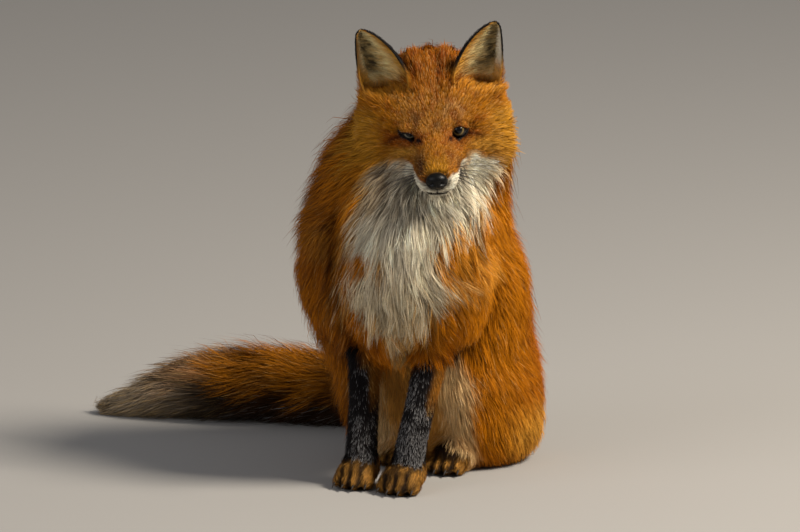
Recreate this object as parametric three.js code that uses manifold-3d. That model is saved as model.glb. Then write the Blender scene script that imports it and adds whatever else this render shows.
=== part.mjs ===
// A red fox in its winter coat, life size, sitting upright with its head turned to its left.
// Millimetres. +X is the fox's left, -Y is where its chest points, +Z is up, and the floor is z = 0.
// Stations and points are measured from a spot on the floor between the forepaws; the last step
// moves the whole fox so that zero is the middle of its footprint.
import * as THREE from "three";
import { mergeVertices } from "three/addons/utils/BufferGeometryUtils.js";
import Module from "manifold-3d";

const wasm = await Module();
wasm.setup();

// ---- driving dimensions ----
const GAP = 0.3; // clear space between neighbouring pieces
const BODY_MIDLINE = 3; // x of the plane that the haunches lie either side of
const THIGH_INSIDE = 16; // from that plane to the inner side of each thigh
const EYE_RADIUS = 10.5;
const EYE_SPACING = 53.5; // between the centres of the two eyeballs
const EYE_DEPTH = 13; // from the face down to the eyeball's centre
const EYE_DROP = 1.5; // the eyeballs' centres lie this far under the middle of the lids
const LID_SPREAD = 27.5; // from the middle of the face to the middle of each pair of lids
const LID_WIDTH = 12; // half the width of the opening between the lids
const LID_DEPTH = 9;
const LID_SLANT = 20; // degrees that the outer corner of each eye stands higher than the inner one
const LID_HEIGHT_OPEN = 5.6; // half the height of the open eye
const LID_HEIGHT_SHUT = 3; // half the height of the eye that is half shut
const NOSE_WIDTH = 23;
const NOSE_HEIGHT = 19;
const NOSE_LENGTH = 17;
const NOSE_AHEAD = 66.5; // from the eyes to the nose's centre
const NOSE_BELOW = 26.2;
const MUZZLE_START = 16; // ahead of the eyes, where the muzzle parts from the head
const MOUTH_HEIGHT = -42.5; // the closed mouth, below the line of the eyes
const HEAD_CENTRE = new THREE.Vector3(58, 2, 401); // the point midway between the eyes
const HEAD_TURN = 23; // degrees to the fox's left
const HEAD_NOD = 12; // degrees down
const HEAD_TILT = 3.5; // degrees, left side raised
const TOE_COUNT = 4;
const TOE_SINK = 2.2; // a toe's pad is pressed flat by this much
const CLAW_LENGTH = 9;
const CLAW_RADIUS = 1.7;
const CLAW_SLOPE = 14; // degrees down towards the tip
const CLAW_HEIGHT = 0.6; // share of the toe's half height at which a claw leaves the toe
const CUT_SIZE = 1400; // side of the boxes that cut pieces along a plane
const FOOTPRINT_SHIFT = new THREE.Vector3(156.65, -128.15, 0); // puts the footprint's middle on zero

// The head's own frame: x to the fox's left, y backwards, z up, zero midway between the eyes.
const headFrame = new THREE.Matrix4().compose(
  HEAD_CENTRE,
  new THREE.Quaternion().setFromEuler(
    new THREE.Euler(
      THREE.MathUtils.degToRad(HEAD_NOD),
      THREE.MathUtils.degToRad(-HEAD_TILT),
      THREE.MathUtils.degToRad(HEAD_TURN),
      "ZXY",
    ),
  ),
  new THREE.Vector3(1, 1, 1),
);
const bodyFrame = new THREE.Matrix4();

// ---- from geometry to solid and back ----
function solidOf(geometry) {
  const bare = geometry.clone();
  bare.deleteAttribute("normal");
  bare.deleteAttribute("uv");
  const merged = mergeVertices(bare, 1e-4);
  return new wasm.Manifold(
    new wasm.Mesh({
      numProp: 3,
      vertProperties: new Float32Array(merged.attributes.position.array),
      triVerts: new Uint32Array(merged.index.array),
    }),
  );
}

function geometryOf(solid) {
  const mesh = solid.getMesh();
  const geometry = new THREE.BufferGeometry();
  geometry.setAttribute("position", new THREE.BufferAttribute(mesh.vertProperties, 3));
  geometry.setIndex(new THREE.BufferAttribute(mesh.triVerts, 1));
  return geometry;
}

// Moves every vertex out along its normal, so that a solid can cut a slightly larger hollow.
function swell(geometry, distance) {
  geometry.computeVertexNormals();
  const place = geometry.attributes.position;
  const normal = geometry.attributes.normal;
  const point = new THREE.Vector3();
  const outward = new THREE.Vector3();
  for (let i = 0; i < place.count; i += 1) {
    outward.fromBufferAttribute(normal, i);
    point.fromBufferAttribute(place, i).addScaledVector(outward, distance);
    place.setXYZ(i, point.x, point.y, point.z);
  }
}

function sectionAxes(tangent, across) {
  const side = across.clone().addScaledVector(tangent, -across.dot(tangent)).normalize();
  return [side, new THREE.Vector3().crossVectors(tangent, side)];
}

// A closed skin round a smooth path. Each station is [x, y, z, half width, half depth]:
// the half width lies along `across`, and both ends are rounded over `caps`, a share of the path.
// The sections stand square to the path, or to `across` and `upright` where that is given.
function loft(stations, options) {
  const { across, sides, rings, caps, upright, frame = bodyFrame, grow = 0 } = options;
  const path = new THREE.CatmullRomCurve3(stations.map(([x, y, z]) => new THREE.Vector3(x, y, z)));
  path.curveType = "catmullrom";
  const girth = new THREE.CatmullRomCurve3(stations.map((row) => new THREE.Vector3(row[3], row[4], 0)));
  girth.curveType = "catmullrom";
  const ball = new THREE.SphereGeometry(1, sides, rings);
  ball.deleteAttribute("normal");
  ball.deleteAttribute("uv");
  const geometry = mergeVertices(ball, 1e-4);
  const place = geometry.attributes.position;
  for (let i = 0; i < place.count; i += 1) {
    const height = THREE.MathUtils.clamp(place.getY(i), -1, 1);
    const along = (1 - height) / 2;
    const angle = Math.atan2(place.getZ(i), place.getX(i));
    const nearEnd = Math.min(along / caps[0], (1 - along) / caps[1], 1);
    const round = Math.sqrt(1 - (1 - nearEnd) ** 2);
    const centre = path.getPoint(along);
    const [side, depth] = upright ? [across, upright] : sectionAxes(path.getTangent(along), across);
    const size = girth.getPoint(along);
    centre.addScaledVector(side, size.x * round * Math.cos(angle));
    centre.addScaledVector(depth, size.y * round * Math.sin(angle));
    place.setXYZ(i, centre.x, centre.y, centre.z);
  }
  if (grow > 0) {
    swell(geometry, grow);
  }
  geometry.applyMatrix4(frame);
  return solidOf(geometry);
}

function ellipsoid(centre, radii, options) {
  const { sides, rings, frame = bodyFrame, grow = 0 } = options;
  const geometry = new THREE.SphereGeometry(1, sides, rings);
  geometry.scale(radii[0] + grow, radii[1] + grow, radii[2] + grow);
  geometry.translate(...centre);
  geometry.applyMatrix4(frame);
  return solidOf(geometry);
}

// The half of space on the side that `normal` points to, less half a gap.
function beyond(point, normal, frame = bodyFrame) {
  const box = new THREE.BoxGeometry(CUT_SIZE, CUT_SIZE, CUT_SIZE);
  box.translate(0, 0, CUT_SIZE / 2 + GAP / 2);
  const turn = new THREE.Quaternion().setFromUnitVectors(new THREE.Vector3(0, 0, 1), normal);
  box.applyQuaternion(turn);
  box.translate(...point);
  box.applyMatrix4(frame);
  return solidOf(box);
}

// Parts a solid with a thin plane cut: first the piece ahead of the plane, then the piece behind it.
function part(solid, point, normal, frame) {
  const ahead = solid.intersect(beyond(point, normal, frame));
  const behind = solid.intersect(beyond(point, normal.clone().negate(), frame));
  return [ahead, behind];
}

function underTheFloor() {
  const box = new THREE.BoxGeometry(CUT_SIZE, CUT_SIZE, CUT_SIZE);
  box.translate(0, 0, -CUT_SIZE / 2);
  return solidOf(box);
}

const floor = underTheFloor();
const ACROSS = new THREE.Vector3(1, 0, 0);
const BACKWARDS = new THREE.Vector3(0, 1, 0);
const UPWARDS = new THREE.Vector3(0, 0, 1);

// Reflects stations from the fox's left to its right, with an optional shift backwards.
function mirrored(stations, back = 0) {
  return stations.map(([x, y, z, a, b]) => [2 * BODY_MIDLINE - x, y + back, z, a, b]);
}

// ---- torso: rump, trunk and neck, parted from one skin ----
const TORSO = [
  [3, 190, -2, 44, 40],
  [3, 186, 24, 82, 76],
  [3, 180, 62, 98, 92],
  [-1, 162, 114, 110, 104],
  [-8, 137, 175, 131, 112],
  [-13, 110, 235, 126, 113],
  [-9, 93, 290, 115, 103],
  [5, 90, 338, 107, 88],
  [19, 95, 380, 94, 69],
  [29, 101, 414, 78, 55],
  [33, 102, 443, 50, 36],
];
const RUMP_TOP = new THREE.Vector3(0, 170, 112);
const NECK_START = new THREE.Vector3(0, 80, 300);

function torso(grow = 0) {
  return loft(TORSO, { across: ACROSS, sides: 16, rings: 13, caps: [0.05, 0.1], grow });
}

// ---- chest: the full bib of long hair under the throat ----
const CHEST = [
  [51, 30, 376, 66, 42],
  [36, 22, 322, 84, 64],
  [15, 25, 260, 88, 76],
  [9, 32, 205, 78, 68],
  [10, 42, 160, 52, 46],
  [11, 48, 132, 26, 26],
];

function chest(grow = 0) {
  return loft(CHEST, { across: ACROSS, sides: 12, rings: 8, caps: [0.16, 0.12], grow });
}

// ---- tail: lies on the floor behind the fox, out to its right ----
const TAIL = [
  [4, 232, 58, 26, 28],
  [-18, 266, 46, 35, 38],
  [-88, 276, 43, 42, 43],
  [-190, 268, 42.5, 44, 43.5],
  [-290, 254, 41.5, 43, 42.3],
  [-365, 238, 26, 29, 26.6],
  [-422, 224, 9.5, 12, 10],
  [-438, 220, 4.5, 5, 4.7],
];
const TAIL_JOINTS = [new THREE.Vector3(-120, 274, 43), new THREE.Vector3(-262, 258, 43)];

function tail(grow = 0) {
  return loft(TAIL, { across: BACKWARDS, sides: 12, rings: 13, caps: [0.05, 0.03], grow });
}

// ---- front legs ----
const UPPER_ARM_LEFT = [
  [50, 62, 292, 34, 42],
  [66, 44, 240, 45, 56],
  [66, 38, 190, 38, 48],
  [54, 32, 152, 27, 32],
];
const UPPER_ARM_RIGHT = [
  [-62, 62, 292, 34, 42],
  [-76, 44, 240, 45, 56],
  [-66, 40, 190, 38, 48],
  [-46, 34, 152, 27, 32],
];
const FOREARM_LEFT = [
  [49, 32, 170, 25, 30],
  [43.5, 20, 128, 18.5, 23],
  [37, 7, 84, 17, 20],
  [30.5, -1, 44, 18, 20],
  [27.5, 1, 16, 20, 22],
];
const FOREARM_RIGHT = [
  [-41, 36, 170, 25, 30],
  [-31, 20, 128, 18.5, 23],
  [-28.5, 9, 84, 17.5, 20],
  [-28.5, 3, 44, 18, 20],
  [-29, 5, 16, 20, 22],
];

function upperArm(stations, grow = 0) {
  return loft(stations, { across: ACROSS, sides: 12, rings: 7, caps: [0.2, 0.2], grow });
}

function forearm(stations, grow = 0) {
  return loft(stations, { across: ACROSS, sides: 10, rings: 7, caps: [0.12, 0.1], grow });
}

// A foot is a sole of stations that run forwards to the toes, four toes and their claws.
function foot(sole, toes, grow = 0) {
  let solid = loft(sole, { across: ACROSS, sides: 9, rings: 6, caps: [0.14, 0.12], grow });
  for (let i = 0; i < TOE_COUNT; i += 1) {
    const share = i / (TOE_COUNT - 1) - 0.5; // -0.5 at the outer right toe, 0.5 at the outer left
    const x = toes.x + share * toes.spread;
    const y = toes.y + Math.abs(share) * toes.step;
    const radii = [toes.width, toes.length, toes.height];
    solid = solid.add(ellipsoid([x, y, toes.height - TOE_SINK], radii, { sides: 6, rings: 5, grow }));
    solid = solid.add(claw(x, y - toes.length, toes.height * CLAW_HEIGHT, grow));
  }
  return solid.subtract(floor);
}

// A claw points forwards and a little down from the front of its toe, half of it inside the toe.
function claw(x, y, z, grow) {
  const geometry = new THREE.ConeGeometry(CLAW_RADIUS + grow, CLAW_LENGTH + grow, 4);
  geometry.rotateX(Math.PI + THREE.MathUtils.degToRad(CLAW_SLOPE));
  geometry.translate(x, y, z);
  return solidOf(geometry);
}

const FOREPAW_LEFT = [
  [27.5, 22, 19, 18, 20],
  [27.5, 2, 19, 23, 21],
  [27.5, -18, 16, 26, 18],
  [27.5, -36, 12, 24, 14],
];
const FOREPAW_RIGHT = [
  [-29, 28, 19, 17, 20],
  [-29, 8, 19, 21, 21],
  [-29, -12, 16, 24, 18],
  [-29, -29, 12, 22, 14],
];
const FORE_TOES_LEFT = { x: 27.5, y: -36, spread: 39, step: 20, width: 7.2, length: 14, height: 10.5 };
const FORE_TOES_RIGHT = { x: -29, y: -29, spread: 36, step: 20, width: 6.8, length: 14, height: 10.5 };

// ---- hind legs ----
const THIGH = [
  [60, 190, -1, 30, 36],
  [60, 186, 16, 52, 62],
  [57, 170, 62, 61, 86],
  [48, 155, 112, 60, 92],
  [40, 148, 160, 54, 74],
  [32, 144, 194, 34, 44],
];
const KNEE = [
  [54, 165, 92, 50, 60],
  [54, 125, 92, 45, 57],
  [52, 98, 86, 33, 42],
  [51, 90, 84, 20, 26],
];
const HIND_FOOT_LEFT = [
  [70, 236, 19, 16, 21],
  [65, 200, 20, 18, 21.5],
  [53, 148, 21, 21, 22.5],
  [43, 106, 21, 24, 22.5],
  [39, 78, 15, 24, 16.5],
];
const HIND_TOES_LEFT = { x: 38.5, y: 76, spread: 38, step: 18, width: 7, length: 14, height: 10.5 };
const HIND_TOES_RIGHT = { ...HIND_TOES_LEFT, x: -32.5, y: 93 };
const HIND_FOOT_STAGGER = 17; // the right hind foot lies this much further back

function thigh(side, grow = 0) {
  const haunch = side > 0 ? THIGH : mirrored(THIGH);
  const knee = side > 0 ? KNEE : mirrored(KNEE);
  const upright = loft(haunch, { across: ACROSS, sides: 14, rings: 9, caps: [0.05, 0.1], grow });
  const forward = loft(knee, { across: ACROSS, sides: 10, rings: 6, caps: [0.1, 0.14], grow });
  const inside = beyond([BODY_MIDLINE + side * THIGH_INSIDE, 0, 0], new THREE.Vector3(side, 0, 0));
  return upright.add(forward).subtract(floor).intersect(inside);
}

function hindFoot(side, grow = 0) {
  return side > 0
    ? foot(HIND_FOOT_LEFT, HIND_TOES_LEFT, grow)
    : foot(mirrored(HIND_FOOT_LEFT, HIND_FOOT_STAGGER), HIND_TOES_RIGHT, grow);
}

// ---- head, in its own frame ----
const SKULL = [
  [0, 118, 2, 60, 56],
  [0, 96, -4, 80, 73],
  [0, 70, -14, 91, 78],
  [0, 45, -24.5, 92, 76],
  [0, 25, -25.5, 72, 62.5],
  [0, 8, -25, 45, 45.5],
  [0, -8, -27, 31, 33.5],
  [0, -25, -28, 28, 30],
  [0, -45, -30.6, 26, 24.6],
  [0, -60, -33.8, 23, 17.4],
  [0, -70, -36, 14, 11.6],
];

const inHead = { upright: UPWARDS, frame: headFrame };

function skull(grow = 0) {
  return loft(SKULL, { across: ACROSS, sides: 16, rings: 16, caps: [0.05, 0.03], ...inHead, grow });
}

function nose(grow = 0) {
  const radii = [NOSE_WIDTH / 2, NOSE_LENGTH / 2, NOSE_HEIGHT / 2];
  const centre = [0, -NOSE_AHEAD, -NOSE_BELOW];
  return ellipsoid(centre, radii, { sides: 10, rings: 6, frame: headFrame, grow });
}

// The opening between the lids: the fox's left eye is wide open and its right eye is half shut.
function lidOpening(side) {
  const height = side > 0 ? LID_HEIGHT_OPEN : LID_HEIGHT_SHUT;
  const slant = new THREE.Matrix4().makeRotationY(-side * THREE.MathUtils.degToRad(LID_SLANT));
  slant.setPosition(side * LID_SPREAD, EYE_DEPTH - EYE_RADIUS, 0);
  const frame = headFrame.clone().multiply(slant);
  return ellipsoid([0, 0, 0], [LID_WIDTH, LID_DEPTH, height], { sides: 10, rings: 5, frame });
}

function eye(side, grow = 0) {
  const centre = [(side * EYE_SPACING) / 2, EYE_DEPTH, -EYE_DROP];
  const radii = [EYE_RADIUS, EYE_RADIUS, EYE_RADIUS];
  return ellipsoid(centre, radii, { sides: 10, rings: 7, frame: headFrame, grow });
}

// An ear is a flattened cone with its front hollowed, so that it stands as a thin curved shell.
const EAR = [
  [47.5, 55, 25, 27, 20],
  [49, 53, 38, 30.5, 20],
  [53, 53, 60, 30, 17],
  [60, 56, 82, 23.5, 12.5],
  [67.5, 59, 97, 14.5, 8],
  [72, 60.5, 103.5, 6, 4],
];
const EAR_TURN = 18; // degrees that each ear's hollow faces outwards
const EAR_HOLLOW_AHEAD = 9; // how far the hollow's shape is moved forwards out of the ear
const EAR_HOLLOW_LIFT = 8;
const EAR_HOLLOW_SHARE = 0.86;

function ear(side, grow = 0) {
  const turn = side * THREE.MathUtils.degToRad(EAR_TURN);
  const across = new THREE.Vector3(Math.cos(turn), Math.sin(turn), 0);
  const outside = EAR.map(([x, y, z, a, b]) => [side * x, y, z, a, b]);
  const options = { across, sides: 10, rings: 8, caps: [0.1, 0.06], frame: headFrame };
  const body = loft(outside, { ...options, grow });
  if (grow > 0) {
    return body;
  }
  const hollow = EAR.map(([x, y, z, a, b]) => [
    side * x + EAR_HOLLOW_AHEAD * Math.sin(turn),
    y - EAR_HOLLOW_AHEAD * Math.cos(turn),
    z + EAR_HOLLOW_LIFT,
    a * EAR_HOLLOW_SHARE,
    b,
  ]);
  return body.subtract(loft(hollow.slice(0, 5), options));
}

// ---- materials ----
function coat(colour) {
  return new THREE.MeshStandardMaterial({ color: colour, roughness: 0.85, metalness: 0 });
}

const rustCoat = coat(0xc4701c);
const paleCoat = coat(0xd9d0c0);
const darkCoat = coat(0x2a2524);
const pawCoat = coat(0x7a5426);
const tailTipCoat = coat(0xb0a596);
const noseSkin = new THREE.MeshStandardMaterial({ color: 0x1b1817, roughness: 0.4, metalness: 0 });
const eyeGlass = new THREE.MeshStandardMaterial({ color: 0xb08a3c, roughness: 0.08, metalness: 0 });

// ---- assembly ----
const fox = new THREE.Group();

function place(name, solid, material) {
  const mesh = new THREE.Mesh(geometryOf(solid), material);
  mesh.name = name;
  fox.add(mesh);
}

function less(solid, ...cutters) {
  return cutters.reduce((rest, cutter) => rest.subtract(cutter), solid);
}

function addHead() {
  const forwards = BACKWARDS.clone().negate();
  const [snout, cranium] = part(skull(), [0, -MUZZLE_START, 0], forwards, headFrame);
  const [muzzle, jaw] = part(snout, [0, 0, MOUTH_HEIGHT], UPWARDS, headFrame);
  place("nose", nose(), noseSkin);
  place("muzzle", less(muzzle, nose(GAP)), rustCoat);
  place("lower_jaw", jaw, paleCoat);
  const organs = [eye(1, GAP), eye(-1, GAP), lidOpening(1), lidOpening(-1), ear(1, GAP), ear(-1, GAP)];
  place("head", less(cranium, ...organs), rustCoat);
  for (const [label, side] of [["left", 1], ["right", -1]]) {
    place(`ear_${label}`, ear(side), paleCoat);
    place(`eye_${label}`, eye(side), eyeGlass);
  }
}

function addTorso() {
  const limbs = [
    skull(GAP),
    chest(GAP),
    upperArm(UPPER_ARM_LEFT, GAP),
    upperArm(UPPER_ARM_RIGHT, GAP),
    forearm(FOREARM_LEFT, GAP),
    forearm(FOREARM_RIGHT, GAP),
    thigh(1, GAP),
    thigh(-1, GAP),
    hindFoot(1, GAP),
    hindFoot(-1, GAP),
    tail(GAP),
  ];
  const whole = less(torso().subtract(floor), ...limbs);
  const neckward = new THREE.Vector3(0, -0.3, 1).normalize();
  const [upper, rump] = part(whole, RUMP_TOP.toArray(), neckward);
  const [neck, trunk] = part(upper, NECK_START.toArray(), neckward);
  place("neck", neck, rustCoat);
  place("trunk", trunk, rustCoat);
  place("rump", rump, rustCoat);
  const armsAndHead = [
    skull(GAP),
    upperArm(UPPER_ARM_LEFT, GAP),
    upperArm(UPPER_ARM_RIGHT, GAP),
    forearm(FOREARM_LEFT, GAP),
    forearm(FOREARM_RIGHT, GAP),
  ];
  place("chest", less(chest(), ...armsAndHead), paleCoat);
}

function addFrontLegs() {
  const sets = [
    ["left", UPPER_ARM_LEFT, FOREARM_LEFT, FOREPAW_LEFT, FORE_TOES_LEFT],
    ["right", UPPER_ARM_RIGHT, FOREARM_RIGHT, FOREPAW_RIGHT, FORE_TOES_RIGHT],
  ];
  for (const [label, arm, lower, sole, toes] of sets) {
    place(`upper_arm_${label}`, less(upperArm(arm), forearm(lower, GAP)), rustCoat);
    place(`forearm_${label}`, less(forearm(lower).subtract(floor), foot(sole, toes, GAP)), darkCoat);
    place(`forepaw_${label}`, foot(sole, toes), pawCoat);
  }
}

function addHindLegs() {
  for (const [label, side] of [["left", 1], ["right", -1]]) {
    place(`thigh_${label}`, less(thigh(side), hindFoot(side, GAP)), rustCoat);
    place(`hind_foot_${label}`, hindFoot(side), pawCoat);
  }
}

function addTail() {
  const whole = tail().subtract(floor);
  const alongTail = new THREE.Vector3(-1, 0, 0);
  const [outer, base] = part(whole, TAIL_JOINTS[0].toArray(), alongTail);
  const [tip, middle] = part(outer, TAIL_JOINTS[1].toArray(), alongTail);
  const hindLegs = [thigh(1, GAP), thigh(-1, GAP), hindFoot(1, GAP), hindFoot(-1, GAP)];
  place("tail_base", less(base, ...hindLegs), rustCoat);
  place("tail_middle", middle, rustCoat);
  place("tail_tip", tip, tailTipCoat);
}

addHead();
addTorso();
addFrontLegs();
addHindLegs();
addTail();
fox.position.copy(FOOTPRINT_SHIFT);

export default fox;
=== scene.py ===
"""A red fox in its winter coat, sitting with its head turned: the skin, the fur and the details."""

import math

import bmesh
import bpy
import numpy as np
import openvdb
from mathutils import Matrix, Vector
from mathutils.kdtree import KDTree


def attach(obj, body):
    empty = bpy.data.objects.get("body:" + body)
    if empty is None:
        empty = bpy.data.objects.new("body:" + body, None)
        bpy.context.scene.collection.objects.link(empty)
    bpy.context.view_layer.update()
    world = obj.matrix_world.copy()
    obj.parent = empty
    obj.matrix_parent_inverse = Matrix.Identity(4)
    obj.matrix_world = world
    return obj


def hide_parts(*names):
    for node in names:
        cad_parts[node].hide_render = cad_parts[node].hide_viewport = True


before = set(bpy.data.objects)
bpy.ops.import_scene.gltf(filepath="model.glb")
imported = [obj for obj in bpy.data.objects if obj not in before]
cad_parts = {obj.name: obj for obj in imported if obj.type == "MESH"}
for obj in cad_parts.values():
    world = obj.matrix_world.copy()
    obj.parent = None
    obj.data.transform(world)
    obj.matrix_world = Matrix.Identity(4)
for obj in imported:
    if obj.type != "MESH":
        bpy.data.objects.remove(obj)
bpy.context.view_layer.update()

MM = 0.001
SHARE = 1.0

# The CAD's own zero, on the floor between the forepaws, in the row frame.
ZERO = np.array([156.65, -128.15, 0.0]) * MM
HEAD_AT = ZERO + np.array([58.0, 2.0, 401.0]) * MM
HEAD_TURN, HEAD_NOD, HEAD_TILT = 23.0, 12.0, 3.5
HEAD_AXES = np.array(
    Matrix.Rotation(math.radians(HEAD_TURN), 3, "Z")
    @ Matrix.Rotation(math.radians(HEAD_NOD), 3, "X")
    @ Matrix.Rotation(math.radians(-HEAD_TILT), 3, "Y")
)
VOXEL = 2.6 * MM
BAND = 14  # the volume of distances reaches this many voxels in and out
CELL = 3  # coat depths are looked up at every third voxel
OVERLAP = 0.4 * MM  # closes the thin cuts between the nodes

EYE_RADIUS = 10.5
EYE_X, EYE_Y, EYE_Z = 26.75, 13.0, -1.5  # the eyeballs' centres, in the head's frame
# Each eye's opening: x, z, slant, half its length, half its height and roundness. The right eye squints.
LIDS = {
    1: (27.3, -0.8, 21, 10.3, 6.1, 2.5),
    -1: (-25.6, -2.4, 29, 11.8, 2.2, 3.2),
}
CORNEA_RADIUS, CORNEA_RISE = 6.3, 0.9
PUPIL = 0.41  # as a share of 10 mm, like the other rings of the eye
LID_X = 27.5  # the middle of the finer skin round each eye
LOOK_COS, LOOK_SIN = 0.9135, 0.4067  # the face looks up by 24 degrees in the head's frame
FACE_END = 40  # the y in the head's frame before which a place belongs to the face
HEAD_EGG = [95, 110, 95]  # half the sizes of an egg round the skull
NOSE_AT = np.array([0, -66.5, -26.2])
MOUTH_Z = -41.4  # the height of the line between the lips
CLEFT_Y, CLEFT_Z = -58, -38  # the cleft of the lip: y at its back and z at its middle
EAR_ROOT = 31  # the height up to which an ear's node fills its socket
EAR_HAIRS = 9000

FLESH = [
    "muzzle", "lower_jaw", "head", "neck", "trunk", "rump", "chest",
    "upper_arm_left", "upper_arm_right", "forearm_left", "forearm_right",
    "forepaw_left", "forepaw_right", "thigh_left", "thigh_right",
    "hind_foot_left", "hind_foot_right", "tail_base", "tail_middle", "tail_tip",
]
LABEL = {name: i for i, name in enumerate(FLESH)}
SIDES, SIDE_NAMES = (1, -1), ("left", "right")  # x is positive on the animal's left
UPPER_ARMS, FOREARMS, FOREPAWS, THIGHS, HIND_FEET = (
    [f"{part}_{side}" for side in SIDE_NAMES]
    for part in ("upper_arm", "forearm", "forepaw", "thigh", "hind_foot")
)
HEAD_PARTS = ["head", "muzzle", "lower_jaw"]
TAIL_PARTS = ["tail_base", "tail_middle", "tail_tip"]
FILLINGS = {  # what sits in a hollow of the flesh, and what the hollow is in
    "eye_left": "head", "eye_right": "head", "nose": "muzzle", "ear_left": "head", "ear_right": "head",
}
random = np.random.default_rng(20)


# ---- small helpers ----
def tone(r, g, b):
    """A linear colour from screen values 0 to 255."""
    c = np.array([r, g, b], float) / 255
    return np.where(c <= 0.04045, c / 12.92, ((c + 0.055) / 1.055) ** 2.4)


def ramp(x, start, end):
    """0 at start, 1 at end, smooth between."""
    t = np.clip((x - start) / (end - start), 0, 1)
    return t * t * (3 - 2 * t)


def unit(v):
    """Vectors of length 1."""
    return v / (np.linalg.norm(v, axis=-1, keepdims=True) + 1e-12)


def dot(a, b):
    return np.sum(a * b, axis=-1)


def clipped(x):
    return np.clip(x, 0, 1)


def mix_value(a, b, t):
    return a * (1 - t) + b * t


def mix(a, b, t):
    """Rows of a where t is 0, of b where it is 1, and between them elsewhere."""
    return mix_value(a, b, np.asarray(t)[:, None])


def painted(colour, *layers):
    """Lays colours over one another: each layer is a colour and its share at each place."""
    for over, share in layers:
        colour = mix(colour, tone(*over) if isinstance(over, tuple) else over, share)
    return colour


def body_mm(points):
    return (points - ZERO) / MM


def head_mm(points):
    return (points - HEAD_AT) @ HEAD_AXES / MM


def seen_height(h):
    """Height in the head's frame as seen from where the face looks."""
    return h[:, 2] * LOOK_COS + h[:, 1] * LOOK_SIN


def from_head(points_mm):
    return np.asarray(points_mm, float) * MM @ HEAD_AXES.T + HEAD_AT


def hashed(cells, seed):
    n = cells[..., 0] * 73856093 ^ cells[..., 1] * 19349663 ^ cells[..., 2] * 83492791
    n = (n ^ (seed * 2654435761)) & 0xFFFFFFFF
    n = ((n ^ (n >> 15)) * 2246822519) & 0xFFFFFFFF
    n = ((n ^ (n >> 13)) * 3266489917) & 0xFFFFFFFF
    return (n ^ (n >> 16)) / 0xFFFFFFFF


def noise(points_mm, size, seed):
    """Smooth random values from 0 to 1 with grains about `size` mm across."""
    p = points_mm / size
    base = np.floor(p).astype(np.int64)
    f = p - base
    f = f * f * (3 - 2 * f)
    total = np.zeros(len(p))
    for dx in (0, 1):
        for dy in (0, 1):
            for dz in (0, 1):
                w = (f[:, 0] if dx else 1 - f[:, 0]) * (f[:, 1] if dy else 1 - f[:, 1])
                w = w * (f[:, 2] if dz else 1 - f[:, 2])
                total += w * hashed(base + np.array([dx, dy, dz]), seed)
    return total


def spot(u, v, at_u, at_v, wide, high):
    """1 in the middle of a soft round spot, 0 far from it."""
    return np.exp(-(((u - at_u) / wide) ** 2 + ((v - at_v) / high) ** 2))


def hump(x, wide):
    return np.exp(-((x / wide) ** 2))


def egg(points, middle, radii):
    """1 on the surface of an egg, less inside it."""
    return np.linalg.norm((points - middle) / np.array(radii), axis=1)


def stations_at(x, table, column):
    """Reads a column of a table by linear interpolation; the first column rises."""
    rows = np.array(table, float)
    return np.interp(x, rows[:, 0], rows[:, column])


# ---- surfaces ----
class Surface:
    """Vertices, triangles and neighbours, with values that can be spread along the surface."""

    def __init__(self, points, triangles):
        self.points = points
        self.triangles = triangles
        pairs = np.concatenate([triangles[:, [0, 1]], triangles[:, [1, 2]], triangles[:, [2, 0]]])
        pairs = np.sort(pairs, axis=1)
        keys = np.unique(pairs[:, 0].astype(np.int64) * len(points) + pairs[:, 1])
        self.a = keys // len(points)
        self.b = keys % len(points)
        count = np.bincount(self.a, minlength=len(points)) + np.bincount(self.b, minlength=len(points))
        self.degree = np.maximum(count, 1)

    def around(self, values):
        n = len(self.points)
        if values.ndim == 1:
            total = np.bincount(self.a, values[self.b], n) + np.bincount(self.b, values[self.a], n)
            return total / self.degree
        return np.stack([self.around(values[:, k]) for k in range(values.shape[1])], 1)

    def spread(self, values, times, share=0.5):
        for _ in range(times):
            blend = self.around(values)
            s = share[:, None] if np.ndim(share) and values.ndim > 1 else share
            values = values + (blend - values) * s
        return values

    def even(self, times, inward, outward):
        """Smooths the points and swells them back, so that the body doesn't shrink."""
        for _ in range(times):
            self.points = self.spread(self.points, 1, inward)
            self.points = self.spread(self.points, 1, -outward)

    def normals(self):
        faces = faces_of(self.points, self.triangles)
        total = np.zeros_like(self.points)
        for k in range(3):
            for j in range(3):
                total[:, j] += np.bincount(self.triangles[:, k], faces[:, j], len(total))
        return unit(total)

    def areas(self):
        return np.linalg.norm(faces_of(self.points, self.triangles), axis=1) / 2


def faces_of(points, triangles):
    """The triangles' normals, as long as twice their areas."""
    a, b, c = (points[triangles[:, k]] for k in range(3))
    return np.cross(b - a, c - a)


def halved(quads):
    return np.concatenate([quads[:, [0, 1, 2]], quads[:, [0, 2, 3]]])


def mesh_arrays(mesh):
    points = np.empty(len(mesh.vertices) * 3)
    mesh.vertices.foreach_get("co", points)
    mesh.calc_loop_triangles()
    triangles = np.empty(len(mesh.loop_triangles) * 3, np.int64)
    mesh.loop_triangles.foreach_get("vertices", triangles)
    return points.reshape(-1, 3), triangles.reshape(-1, 3)


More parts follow.
